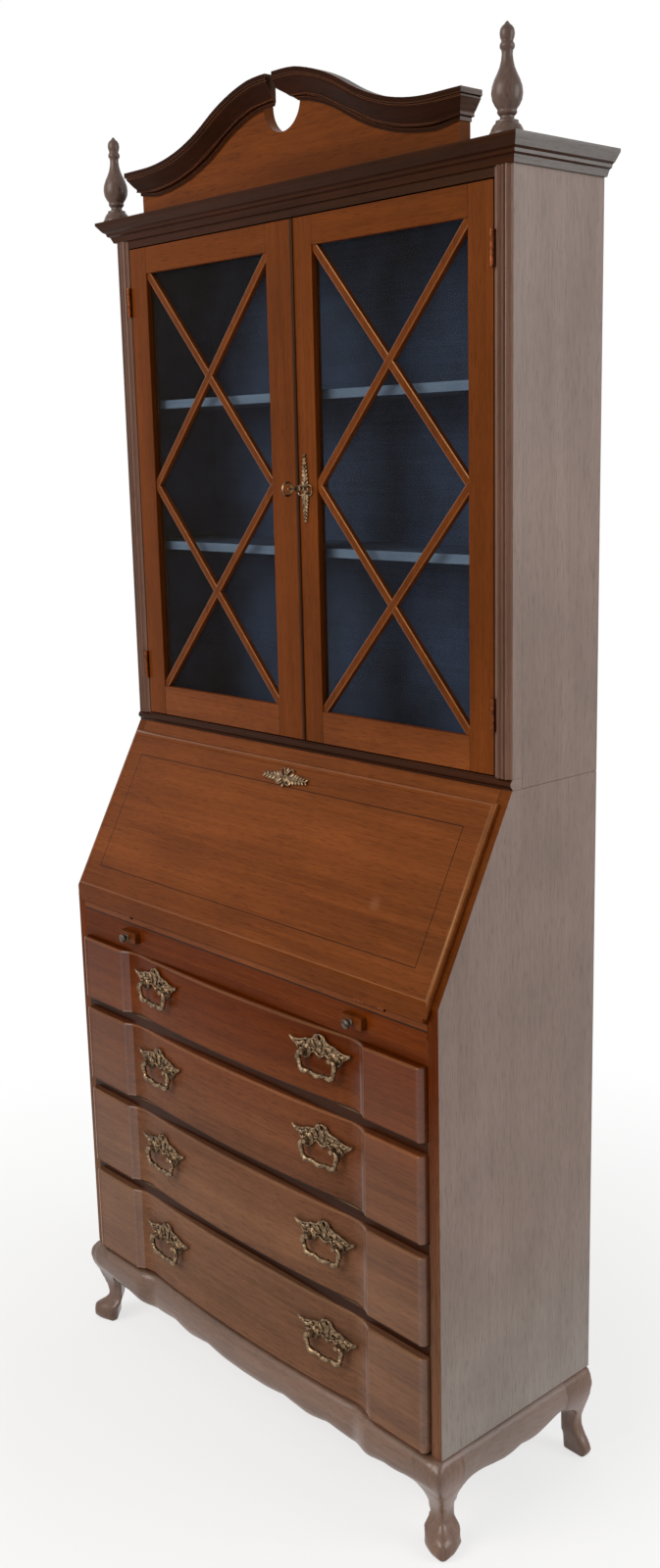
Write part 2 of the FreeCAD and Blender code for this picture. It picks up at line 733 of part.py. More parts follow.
rails.append(block("loper_board", (-inner_half, inner_half), (front, back_face),
                   (rail_foot[1], loper_board_top)))
loper_near = loper_spread - size.loper_width / 2
loper_far = loper_spread + size.loper_width / 2
guide_near = loper_near - size.loper_gap
guide_far = loper_far + size.loper_gap
rail_back = front + size.loper_rail_depth
guides = [block("loper_rail_middle", (-guide_near, guide_near), (front, rail_back),
                (loper_board_top, bed_under))]
for side, word in ((-1, "left"), (1, "right")):
    guides.append(block("loper_rail_" + word, span(side, guide_far, inner_half), (front, rail_back),
                        (loper_board_top, bed_under)))
    guides.append(block("loper_guide_inner_" + word, span(side, guide_near - size.guide_width, guide_near),
                        (rail_back, back_face), (loper_board_top, bed_under)))
    guides.append(block("loper_guide_outer_" + word, span(side, guide_far, guide_far + size.guide_width),
                        (rail_back, back_face), (loper_board_top, bed_under)))
keep(group("drawer_rails", rails))
keep(group("runners_and_guides", runners + guides))

knob_profile = [(0, 0), (size.loper_knob_radius * 0.55, 0),
                (size.loper_knob_radius * 0.45, size.loper_knob_length * 0.25),
                (size.loper_knob_radius * 0.45, size.loper_knob_length * 0.45),
                (size.loper_knob_radius, size.loper_knob_length * 0.65),
                (size.loper_knob_radius, size.loper_knob_length * 0.85),
                (size.loper_knob_radius * 0.5, size.loper_knob_length), (0, size.loper_knob_length)]
for side, word in ((-1, "left"), (1, "right")):
    keep(block("loper_" + word, span(side, loper_near, loper_far),
               (front - size.loper_proud, front + size.loper_length), (loper_foot, loper_top)))
    knob = turned("loper_knob_" + word, knob_profile)
    place(knob, side * loper_spread, front - size.loper_proud, (loper_foot + loper_top) / 2)
    keep(turn(knob, ABOUT_X, 90))

# Drawer boxes and serpentine fronts

box_half = inner_half - size.box_side_gap
box_inner = box_half - size.box_side_thickness
box_back = back_face - size.box_back_gap
for number in (1, 2, 3, 4):
    top = drawer_foot[number] + drawer_heights[number]
    face = padded("drawer_%d_front" % number, "XY_Plane",
                  serpentine(front, front_half, front_back_plane, size.front_rounding),
                  drawer_heights[number])
    keep(place(face, 0, 0, drawer_foot[number]))
    box_foot = drawer_seat[number] + size.box_rise
    box_top = top - size.box_top_gap
    floor_foot = box_foot + size.box_bottom_thickness / 2
    name = "drawer_%d_box" % number
    keep(group(name, [
        block(name + "_left", (-box_half, -box_inner), (front_back_plane, box_back), (box_foot, box_top)),
        block(name + "_right", (box_inner, box_half), (front_back_plane, box_back), (box_foot, box_top)),
        block(name + "_back", (-box_inner, box_inner), (box_back - size.box_side_thickness, box_back),
              (box_foot, box_top)),
        block(name + "_floor", (-box_inner, box_inner),
              (front_back_plane, box_back - size.box_side_thickness),
              (floor_foot, floor_foot + size.box_bottom_thickness))]))

# Pulls: a pierced back plate with two posts, and a bail that swings in them

pull_spread = derive("pull_spread", recess_edge - size.pull_width / 2 - size.pull_side_gap,
                     "pull from the middle")
pull_surface = (front - size.swell_proud + swell_radius
                - root(swell_radius * swell_radius - pull_spread * pull_spread))
pull_tilt = derive("pull_tilt", arc_sine(pull_spread / swell_radius), "pull turned to the swell, degrees")
pull_y = derive("pull_surface", pull_surface, "drawer front behind a pull")
pull_half = size.pull_width / 2
pull_top = size.pull_height / 2
plate_outline = mirror_corners([(pull_half * 0.10, pull_top), (pull_half * 0.40, pull_top * 0.55),
                                (pull_half * 0.72, pull_top * 0.50), (pull_half, pull_top * 0.18),
                                (pull_half * 0.90, -pull_top * 0.10), (pull_half * 0.62, -pull_top * 0.30),
                                (pull_half * 0.55, -pull_top * 0.80), (pull_half * 0.38, -pull_top * 0.90),
                                (pull_half * 0.30, -pull_top * 0.45), (pull_half * 0.10, -pull_top * 0.60)])


def bail_shape():
    """A hanging bail about the X axis, its two ends turned inwards."""
    radius = flat_number(size.bail_radius)
    bend = flat_number(size.bail_bend)
    arm = flat_number(size.post_spread + size.bail_arm)
    drop = flat_number(size.bail_drop)
    end = flat_number(size.post_spread - size.post_radius)

    def corner(x, z, from_x, from_z, to_x, to_z):
        start = Vector(x + from_x * bend, 0, z + from_z * bend)
        finish = Vector(x + to_x * bend, 0, z + to_z * bend)
        centre = Vector(x + (from_x + to_x) * bend, 0, z + (from_z + to_z) * bend)
        away = Vector(x, 0, z) - centre
        middle = centre + away.normalize() * bend
        return start, middle, finish

    turns = [corner(-arm, 0, 1, 0, 0, -1), corner(-arm, -drop, 0, 1, 1, 0),
             corner(arm, -drop, -1, 0, 0, 1), corner(arm, 0, 0, -1, -1, 0)]
    edges = [Part.makeLine(Vector(-end, 0, 0), turns[0][0])]
    for i in range(4):
        start, middle, finish = turns[i]
        edges.append(Part.Arc(start, middle, finish).toShape())
        if i < 3:
            edges.append(Part.makeLine(finish, turns[i + 1][0]))
    edges.append(Part.makeLine(turns[3][2], Vector(end, 0, 0)))
    ring = Part.Wire(Part.makeCircle(radius, Vector(-end, 0, 0), Vector(1, 0, 0)))
    return Part.Wire(edges).makePipeShell([ring], True, False)


def pull_plate(name, side, height):
    """A back plate with posts, flat against the swell of a drawer front."""
    plate = padded(name + "_sheet", "XZ_Plane", plate_outline, size.plate_thickness)
    members = [plate]
    bores = []
    for post, word in ((-1, "a"), (1, "b")):
        members.append(rod(name + "_post_" + word, size.post_radius, size.plate_thickness + size.post_length,
                           post * size.post_spread, 0, 0, ABOUT_X))
        bores.append(rod(name + "_bore_" + word, size.bail_radius + size.pin_gap, 4 * size.post_radius,
                         post * size.post_spread - 2 * size.post_radius,
                         -(size.plate_thickness + size.bail_forward), 0, ABOUT_Y))
    plate = cut(name, fuse(name + "_whole", members), bores)
    tilt = side * pull_tilt
    seat = size.pull_seat_gap
    place(plate, side * (pull_spread + seat * sine(pull_tilt)), pull_y - seat * cosine(pull_tilt), height)
    return turn(plate, ABOUT_Z, tilt)


for number in (1, 2, 3, 4):
    height = drawer_foot[number] + drawer_heights[number] / 2 + size.pull_rise
    keep(group("drawer_%d_pull_plates" % number,
               [pull_plate("pull_plate_%d_left" % number, -1, height),
                pull_plate("pull_plate_%d_right" % number, 1, height)]))
    for side, word in ((-1, "left"), (1, "right")):
        bail = shaped("drawer_%d_bail_%s" % (number, word), bail_shape())
        forward = size.pull_seat_gap + size.plate_thickness + size.bail_forward
        place(bail, side * (pull_spread + forward * sine(pull_tilt)),
              pull_y - forward * cosine(pull_tilt), height)
        keep(turn(bail, ABOUT_Z, side * pull_tilt))

# Hinges: a fixed leaf with a bored middle knuckle, a moving leaf with two outer knuckles and the pin

def hinge_leaf(length, leaf, radius, thickness, moving, clear, gap):
    """A leaf along Z from the pin towards +Y, its thickness on the +X side from the pin plane."""
    pin = flat_number(size.pin_radius)
    third = length / 3
    running = flat_number(size.knuckle_gap)
    plate = Part.makeBox(thickness, leaf - radius - clear, length, Vector(gap, radius + clear, 0))
    spans = [(0, third - running), (2 * third + running, length)] if moving else [(third, 2 * third)]
    whole = plate
    for low, high in spans:
        whole = whole.fuse(Part.makeCylinder(radius, high - low, Vector(0, 0, low)))
        whole = whole.fuse(Part.makeBox(thickness, radius + clear, high - low, Vector(gap, 0, low)))
    if moving:
        whole = whole.fuse(Part.makeCylinder(pin, length))
    else:
        whole = whole.cut(Part.makeCylinder(pin + flat_number(size.pin_gap), length))
    return whole.removeSplitter().Solids[0]


fall_hinge = [flat_number(v) for v in (size.fall_hinge_length, size.fall_hinge_leaf, size.fall_knuckle_radius,
                                       size.leaf_thickness)]
fall_clear = flat_number(size.knuckle_gap)
FLAT_LEAF = FreeCAD.Rotation(ABOUT_Y, 90)


def fall_leaf(name, side, moving):
    """A fall hinge leaf: on the writing board, or in the fall's own frame against its inner face."""
    leaf = hinge_leaf(*fall_hinge, moving, fall_clear, 0)
    if moving:
        leaf = leaf.mirror(Vector(0, 0, 0), Vector(1, 0, 0))
    leaf.Placement = FreeCAD.Placement(Vector(0, 0, 0), FLAT_LEAF).multiply(leaf.Placement)
    made = shaped(name, leaf)
    middle = side * fall_hinge_spread - size.fall_hinge_length / 2
    place(made, middle, hinge_line, writing_height)
    upright = FreeCAD.Rotation(ABOUT_X, 90 - slant.number) if moving else FreeCAD.Rotation()
    made.Placement.Rotation = upright.multiply(FLAT_LEAF)
    return made


bed = block("writing_board_plain", (-inner_half, inner_half), (front, back_face),
            (bed_under, writing_height))
bed_tools = []
fall_tools = []
recess_rise = size.leaf_thickness
for side, word in ((-1, "left"), (1, "right")):
    low = side * fall_hinge_spread - size.fall_hinge_length / 2
    spread = (low - size.knuckle_gap, low + size.fall_hinge_length + size.knuckle_gap)
    knuckle_room = size.fall_knuckle_radius + size.knuckle_gap
    bed_tools.append(rod("bed_knuckle_room_" + word, knuckle_room, spread[1] - spread[0], spread[0],
                         hinge_line, writing_height, ABOUT_Y))
    bed_tools.append(block("bed_leaf_room_" + word, (low, low + size.fall_hinge_length),
                           (hinge_line, hinge_line + size.fall_hinge_leaf),
                           (writing_height - recess_rise, writing_height + recess_rise)))
    fall_tools.append(rod("fall_knuckle_room_" + word, knuckle_room, spread[1] - spread[0], spread[0], 0, 0,
                          ABOUT_Y))
    fall_tools.append(block("fall_leaf_room_" + word, (low, low + size.fall_hinge_length),
                            (sized(0), size.fall_hinge_leaf), (-recess_rise, recess_rise)))
keep(cut("writing_board", bed, bed_tools))
case_leaves = [fall_leaf("fall_case_leaf_left", -1, False), fall_leaf("fall_case_leaf_right", 1, False)]

# Fall front, built lying in its own frame: Y along the slant from the hinge line, Z outwards

facet = slant_cosine / slant_sine
fall_thickness = size.fall_rebate + size.fall_lip
facet_rebate = size.fall_foot_gap + (size.fall_rebate - size.fall_foot_square) * facet
facet_face = size.fall_foot_gap + (fall_thickness - size.fall_foot_square) * facet
rebate_height = fall_height - size.fall_overlap
rebate_half = inner_half - size.fall_edge_gap
lip_half = inner_half + size.fall_overlap
fall_rebate_profile = [(size.fall_foot_gap, sized(0)), (rebate_height, sized(0)),
                       (rebate_height, size.fall_rebate), (facet_rebate, size.fall_rebate),
                       (size.fall_foot_gap, size.fall_foot_square)]
fall_lip_profile = [(facet_rebate, size.fall_rebate), (fall_height, size.fall_rebate),
                    (fall_height, fall_thickness), (facet_face, fall_thickness)]
rebate_part = place(padded("fall_rebate_part", "YZ_Plane", fall_rebate_profile, 2 * rebate_half),
                    -rebate_half, 0, 0)
lip_part = place(padded("fall_lip_part", "YZ_Plane", fall_lip_profile, 2 * lip_half), -lip_half, 0, 0)
lock_half = size.fall_lock_width / 2
lock_room = ((-lock_half, lock_half), (rebate_height - size.fall_lock_height, rebate_height),
             (sized(0), size.fall_lock_depth))
fall_tools.append(block("fall_lock_room", *lock_room))


def on_slant(thing, x, along, out):
    """Carry a thing from the fall's own frame to its closed place on the bureau."""
    place(thing, x, hinge_line + along * slant_sine - out * slant_cosine,
          writing_height + along * slant_cosine + out * slant_sine)
    return turn(thing, ABOUT_X, 90 - slant)


fall = cut("fall_front", fuse("fall_whole", [rebate_part, lip_part]), fall_tools)
keep(on_slant(fall, sized(0), sized(0), sized(0)))
lock = document.addObject("Part::Box", "fall_lock")
bind(lock, "Length", size.fall_lock_width)
bind(lock, "Width", size.fall_lock_height)
bind(lock, "Height", size.fall_lock_depth)
keep(on_slant(lock, -lock_half, rebate_height - size.fall_lock_height, sized(0)))
keep(group("fall_hinge_leaves", [fall_leaf("fall_leaf_left", -1, True),
                                 fall_leaf("fall_leaf_right", 1, True)]))
cartouche_half = size.fall_plate_width / 2
cartouche_top = size.fall_plate_height / 2
cartouche = mirror_corners([(cartouche_half * 0.08, cartouche_top),
                            (cartouche_half * 0.30, cartouche_top * 0.45),
                            (cartouche_half * 0.65, cartouche_top * 0.35),
                            (cartouche_half, -cartouche_top * 0.10),
                            (cartouche_half * 0.55, -cartouche_top * 0.50),
                            (cartouche_half * 0.25, -cartouche_top)])
fall_plate = padded("fall_escutcheon", "XY_Plane", cartouche, size.plate_thickness)
keep(on_slant(fall_plate, sized(0), fall_height - size.fall_plate_drop, fall_thickness))

# Pigeonholes at the back of the writing space

pigeon_front = back_face - size.pigeonhole_depth
pigeon_shelf = writing_height + size.pigeonhole_shelf_rise
pigeon_shelf_top = pigeon_shelf + size.pigeonhole_board
pigeon_boards = [block("pigeonhole_shelf", (-inner_half, inner_half), (pigeon_front, back_face),
                       (pigeon_shelf, pigeon_shelf_top))]


def pigeon_dividers(name, places, low, high):
    """Upright boards at parts of the inner width."""
    for i, part in enumerate(places):
        middle = inner_half * part
        pigeon_boards.append(block(name + str(i + 1),
                                   (middle - size.pigeonhole_board / 2, middle + size.pigeonhole_board / 2),
                                   (pigeon_front, back_face), (low, high)))


pigeon_dividers("pigeonhole_upper_divider_", (-2 / 3, -1 / 3, 0, 1 / 3, 2 / 3), pigeon_shelf_top, top_under)
pigeon_dividers("pigeonhole_lower_divider_", (-1 / 3, 1 / 3), writing_height, pigeon_shelf)
keep(group("pigeonholes", pigeon_boards))

# Bookcase

frame_back = upper_front + size.front_frame_thickness
top_foot = case_top - size.board_thickness
shelf_heights = (("lower", bureau_height + size.lower_shelf_rise),
                 ("upper", bureau_height + size.upper_shelf_rise))
groove_face = upper_inner + size.shelf_groove


def bookcase_side(name, side):
    """A side board with a housing for each shelf."""
    board = block(name + "_board", span(side, upper_inner, half), (frame_back, back),
                  (bureau_height, top_foot))
    grooves = [block(name + "_groove_" + word, span(side, upper_inner, groove_face), (frame_back, back_face),
                     (height - size.shelf_gap / 2, height + size.shelf_thickness + size.shelf_gap / 2))
               for word, height in shelf_heights]
    return cut(name, board, grooves)


keep(both_sides("bookcase_sides", bookcase_side))
keep(group("shelves", [
    block("shelf_" + word, (-(groove_face - size.shelf_gap), groove_face - size.shelf_gap),
          (frame_back + size.shelf_set_back, back_face), (height - size.shelf_gap / 2, height
                                                          - size.shelf_gap / 2 + size.shelf_thickness))
    for word, height in shelf_heights]))
keep(block("bookcase_back", (-upper_inner, upper_inner), (back_face, back), (bureau_height, top_foot)))
keep(block("bookcase_top", (-half, half), (upper_front, back), (top_foot, case_top)))
rail_top = bureau_height + size.base_rail_height
keep(block("bookcase_bottom", (-upper_inner, upper_inner), (frame_back, back_face),
           (bureau_height, rail_top)))

door_foot = derive("door_foot", rail_top + size.door_gap, "floor to the doors")
door_top = derive("door_top", case_top - size.door_top_drop, "floor to the top of the doors")
pilaster_inner = half - size.pilaster_width
bead_middle = (pilaster_inner + half) / 2
bead_half = size.pilaster_bead_width / 2
bead_plan = [(bead_middle - bead_half, upper_front, size.pilaster_bead_radius, 1),
             (bead_middle + bead_half, upper_front)]


def pilaster(name, side):
    """A corner strip with a round bead down its face, up to the cornice."""
    if side < 0:
        return mirrored(name, pilaster(name + "_pattern", 1))
    strip = block(name + "_strip", (pilaster_inner, half), (upper_front, frame_back), (rail_top, top_foot))
    bead = padded(name + "_bead", "XY_Plane", bead_plan, cornice_foot - rail_top)
    return fuse(name, [strip, place(bead, 0, 0, rail_top)])


keep(both_sides("corner_pilasters", pilaster))
ledge_round = size.base_rail_height * 0.35
ledge_low = bureau_height + size.base_rail_height * 0.2
ledge_profile = [(frame_back, bureau_height), (frame_back, rail_top), (upper_front, rail_top),
                 (upper_front, ledge_low + 2 * ledge_round, ledge_round * 1.05, 1),
                 (upper_front, ledge_low), (upper_front, bureau_height)]
keep(group("bookcase_rails", [
    place(padded("base_rail", "YZ_Plane", ledge_profile, size.case_width), -half, 0, 0),
    block("frieze_rail", (-pilaster_inner, pilaster_inner), (upper_front, frame_back),
          (door_top + size.door_gap, top_foot))]))

# Doors: two stiles, two rails, two stacked lattices of glazing bars, glass

glass_front = upper_front + size.glass_set_back
glass_back = glass_front + size.glass_thickness
door_outer = derive("door_outer", pilaster_inner - size.hinge_gap, "outer door edge from the middle")
sight_far = derive("sight_far", door_outer - size.door_stile_width, "outer edge of the seen glass")
sight_near = size.meeting_stile
sight_low = derive("sight_low", door_foot + size.door_bottom_rail, "lower edge of the seen glass")
sight_high = derive("sight_high", door_top - size.door_top_rail, "upper edge of the seen glass")
sight_middle = derive("sight_middle", (sight_low + sight_high) / 2, "middle of the seen glass")
bar_front = glass_front - size.bar_thickness
bar_run = sight_far - sight_near
bar_climb = sight_middle - sight_low
bar_reach = derive("bar_reach", root(bar_run * bar_run + bar_climb * bar_climb), "glazing bar, end to end")
bar_angle = derive("bar_angle", arc_tangent(bar_climb / bar_run), "glazing bar from the level, degrees")


def leaning_bar(name, x, z, lean):
    """A long glazing bar through a crossing point, leaning to the right (1) or left (-1)."""
    made = document.addObject("Part::Box", name)
    bind(made, "Length", bar_reach * 1.2)
    bind(made, "Width", size.bar_thickness)
    bind(made, "Height", size.bar_width)
    angle = -bar_angle * lean
    along = cosine(bar_angle)
    up = sine(bar_angle) * lean
    place(made, x - bar_reach * 0.6 * along + size.bar_width / 2 * up, bar_front,
          z - bar_reach * 0.6 * up - size.bar_width / 2 * along)
    return turn(made, ABOUT_Y, angle)


def lattice(name, side, low, high):
    """One X of glazing bars: a whole bar one way and two halves the other way."""
    x = span(side, sight_near, sight_far)
    field = (x, (bar_front, glass_front), (low, high))
    middle = side * (sight_near + sight_far) / 2
    crossing = (low + high) / 2
    whole = common(name + "_whole", leaning_bar(name + "_whole_stock", middle, crossing, side),
                   block(name + "_whole_field", *field))
    other = common(name + "_other", leaning_bar(name + "_other_stock", middle, crossing, -side),
                   block(name + "_other_field", *field))
    return [whole, cut(name + "_halves", other, [whole])]


def door(side, word, meeting_edge, key_tools):
    """A door's frame and glazing bars, and its glass."""
    x = span(side, sight_near, sight_far)
    outer = span(side, sight_far, door_outer)
    inner = (meeting_edge, sight_near) if side > 0 else (-sight_near, meeting_edge)
    depth = (upper_front, frame_back)
    name = "door_" + word
    room = block(name + "_glass_room", (x[0] - size.glass_rebate, x[1] + size.glass_rebate),
                 (glass_front, frame_back), (sight_low - size.glass_rebate, sight_high + size.glass_rebate))
    members = [block(name + "_outer_stile_stock", outer, depth, (door_foot, door_top)),
               block(name + "_meeting_stile_stock", inner, depth, (door_foot, door_top)),
               block(name + "_top_rail_stock", x, depth, (sight_high, door_top)),
               block(name + "_bottom_rail_stock", x, depth, (door_foot, sight_low))]
    pieces = []
    for i, member in enumerate(members):
        tools = [room] + (key_tools if i == 1 else [])
        pieces.append(cut(member.Name.replace("_stock", ""), member, tools))
    pieces += lattice(name + "_lower_lattice", side, sight_low, sight_middle)
    pieces += lattice(name + "_upper_lattice", side, sight_middle, sight_high)
    keep(group(name + "_frame", pieces))
    gap = size.glass_rebate - size.glass_gap
    keep(block(name + "_glass", (x[0] - gap, x[1] + gap), (glass_front, glass_back),
               (sight_low - gap, sight_high + gap)))


key_bore = size.key_shank_radius + size.key_hole_gap


def key_way(name):
    """The key's hole right through a door."""
    return rod(name, key_bore, 4 * size.front_frame_thickness, size.key_offset,
               upper_front + 2 * size.front_frame_thickness, key_height, ABOUT_X)


half_meeting = size.hinge_gap / 2
door(-1, "left", size.meeting_offset - half_meeting, [])
door(1, "right", size.meeting_offset + half_meeting, [key_way("door_key_way")])

plate_half = size.door_plate_width / 2
plate_top = size.door_plate_height / 2
door_plate_outline = mirror_corners([(plate_half * 0.15, plate_top), (plate_half * 0.55, plate_top * 0.62),
                                     (plate_half * 0.45, plate_top * 0.40), (plate_half, plate_top * 0.10),
                                     (plate_half * 0.80, -plate_top * 0.20),
                                     (plate_half * 0.45, -plate_top * 0.40),
                                     (plate_half * 0.55, -plate_top * 0.80), (plate_half * 0.20, -plate_top)])
door_plate = padded("door_plate_sheet", "XZ_Plane", door_plate_outline, size.plate_thickness)
place(door_plate, size.key_offset, upper_front, key_height)
keep(cut("door_escutcheon", door_plate, [key_way("plate_key_way")]))
lock_low = size.key_offset - size.lock_width / 2
door_lock = block("door_lock_case", (lock_low, lock_low + size.lock_width),
                  (frame_back, frame_back + size.lock_depth),
                  (key_height - size.lock_height / 2, key_height + size.lock_height / 2))
keep(cut("door_lock", door_lock, [key_way("lock_key_way")]))

key_front = upper_front - size.key_reach
shank = rod("key_shank", size.key_shank_radius,
            size.key_reach + size.front_frame_thickness + size.lock_depth / 2, size.key_offset,
            frame_back + size.lock_depth / 2, key_height, ABOUT_X)
collar = rod("key_collar", size.key_shank_radius * 1.6, size.key_shank_radius, size.key_offset,
             key_front + 2 * size.key_shank_radius, key_height, ABOUT_X)
bow = document.addObject("Part::Torus", "key_bow")
bind(bow, "Radius1", size.key_bow_radius)
bind(bow, "Radius2", size.key_bow_bar)
place(bow, size.key_offset, key_front - size.key_bow_radius, key_height)
turn(bow, ABOUT_Y, 90)
keep(fuse("door_key", [shank, collar, bow]))

# Door hinges

door_hinge = [flat_number(v) for v in (size.door_hinge_length, size.door_hinge_leaf + size.door_knuckle_proud,
                                       size.door_knuckle_radius, size.leaf_thickness)]
leaf_gap = flat_number(size.hinge_gap / 2 - size.leaf_thickness)
door_pin = derive("door_pin", door_outer + size.hinge_gap / 2, "door hinge pin from the middle")
hinge_heights = (door_foot + size.door_hinge_inset - size.door_hinge_length / 2,
                 door_top - size.door_hinge_inset - size.door_hinge_length / 2)


def door_leaf(name, side, height, moving):
    """A leaf in the gap beside a door: the fixed one on the pilaster, the moving one on the door edge."""
    leaf = hinge_leaf(*door_hinge, moving, fall_clear, leaf_gap)
    if (side > 0) == moving:
        leaf = leaf.mirror(Vector(0, 0, 0), Vector(1, 0, 0))
    made = shaped(name, leaf)
    return place(made, side * door_pin, upper_front - size.door_knuckle_proud, height)


for side, word in ((-1, "left"), (1, "right")):
    keep(group("door_%s_hinge_leaves" % word,
               [door_leaf("door_%s_leaf_%d" % (word, i), side, height, True)
                for i, height in enumerate(hinge_heights)]))
    case_leaves += [door_leaf("case_leaf_%s_%d" % (word, i), side, height, False)
                    for i, height in enumerate(hinge_heights)]
keep(group("hinge_case_leaves", case_leaves))

# Cornice: a front length and two returns, mitred at the corners

def cornice_face(along_y):
    """Section of the cornice: a fillet, a cove and a top band, standing out from the case."""
    proud = flat_number(size.cornice_proud)
    tall = flat_number(size.cornice_height)
    low = flat_number(cornice_foot)

    def at(out, up):
        height = low + up * tall
        return Vector(out * proud, 0, height) if along_y else Vector(0, -out * proud, height)

    cove = Part.Arc(at(0.16, 0.14), at(0.34, 0.45), at(0.72, 0.62)).toShape()
    straight = [at(0.72, 0.62), at(0.72, 0.70), at(1, 0.76), at(1, 1), at(0, 1), at(0, 0), at(0.16, 0),
                at(0.16, 0.14)]
    edges = [cove] + [Part.makeLine(p, q) for p, q in zip(straight, straight[1:])]
    return Part.Face(Part.Wire(Part.__sortEdges__(edges)))


def wedge(points):
    """A triangular prism that takes the waste off a mitre."""
    corners = [Vector(x, y, flat_number(cornice_foot) - 1) for x, y in points]
    tall = flat_number(size.cornice_height) + 2
    return Part.Face(Part.makePolygon(corners + corners[:1])).extrude(Vector(0, 0, tall))


def cornice_lengths():
    """The three mitred lengths of the cornice."""
    proud = flat_number(size.cornice_proud)
    side = half.number
    face = upper_front.number
    past = proud * 1.2
    front_run = cornice_face(False)
    front_run.translate(Vector(-side - proud, face, 0))
    front_run = front_run.extrude(Vector(2 * (side + proud), 0, 0))
    front_run = front_run.cut(wedge(((side, face), (side + past, face - past), (side + past, face))))
    front_run = front_run.cut(wedge(((-side, face), (-side - past, face - past), (-side - past, face))))
    return_run = cornice_face(True)
    return_run.translate(Vector(side, face - proud, 0))
    return_run = return_run.extrude(Vector(0, back.number - face + proud, 0))
    return_run = return_run.cut(wedge(((side, face), (side + past, face - past), (side, face - past))))
    other = return_run.mirror(Vector(0, 0, 0), Vector(1, 0, 0))
    return Part.makeCompound([run.Solids[0] for run in (front_run, return_run, other)])


keep(shaped("cornice", cornice_lengths()))

# Pediment: a board with a hole, and two scroll mouldings that rise to a slot over it

pediment_half = half - size.pediment_inset
pediment_face = upper_front - size.pediment_proud
scroll_rise = size.scroll_high - size.scroll_low
slot_half = size.scroll_slot / 2
bend_outer = pediment_half - size.scroll_level
bend_middle = (bend_outer - size.scroll_crest) / 2
bend_run = bend_outer - bend_middle
bend_radius = derive("scroll_bend", sagitta_radius(bend_run, scroll_rise / 2), "bends of the scroll")
hole_radius = size.pediment_hole_radius
hole_height = case_top + size.pediment_hole_rise
board_drop = size.scroll_height / 2
board_shoulder = hole_radius + size.scroll_height / 8
shoulder_run = board_shoulder + size.scroll_crest
shoulder_fall = bend_radius - root(bend_radius * bend_radius - shoulder_run * shoulder_run)
scroll_top = case_top + size.scroll_high
right_edge = [(hole_radius, hole_height),
              (board_shoulder, scroll_top - shoulder_fall - board_drop, bend_radius, -1),
              (bend_middle, case_top + size.scroll_low + scroll_rise / 2 - board_drop, bend_radius, 1),
              (bend_outer, case_top + size.scroll_low - board_drop),
              (pediment_half, case_top + size.scroll_low - board_drop), (pediment_half, case_top)]
left_edge = [(-pediment_half, case_top), (-pediment_half, case_top + size.scroll_low - board_drop),
             (-bend_outer, case_top + size.scroll_low - board_drop, bend_radius, 1),
             (-bend_middle, case_top + size.scroll_low + scroll_rise / 2 - board_drop, bend_radius, -1),
             (-board_shoulder, scroll_top - shoulder_fall - board_drop),
             (-hole_radius, hole_height, hole_radius, 1),
             (sized(0), hole_height - hole_radius, hole_radius, 1)]
pediment = padded("pediment_board", "XZ_Plane", right_edge + left_edge, size.pediment_thickness)
keep(place(pediment, 0, pediment_face + size.pediment_thickness, 0))


def scroll_section():
    """Section of the scroll moulding across its run: out from the board and down from its top edge."""
    proud = flat_number(size.scroll_proud)
    tall = flat_number(size.scroll_height)

    def at(out, down):
        return Vector(0, -out * proud, -down * tall)

    cove = Part.Arc(at(0.72, 0.30), at(0.34, 0.50), at(0.22, 0.84)).toShape()
    straight = [at(0.22, 0.84), at(0.10, 0.86), at(0.10, 1), at(0, 1), at(0, 0), at(1, 0), at(1, 0.20),
                at(0.72, 0.24), at(0.72, 0.30)]
    edges = [cove] + [Part.makeLine(p, q) for p, q in zip(straight, straight[1:])]
    return Part.Wire(Part.__sortEdges__(edges))


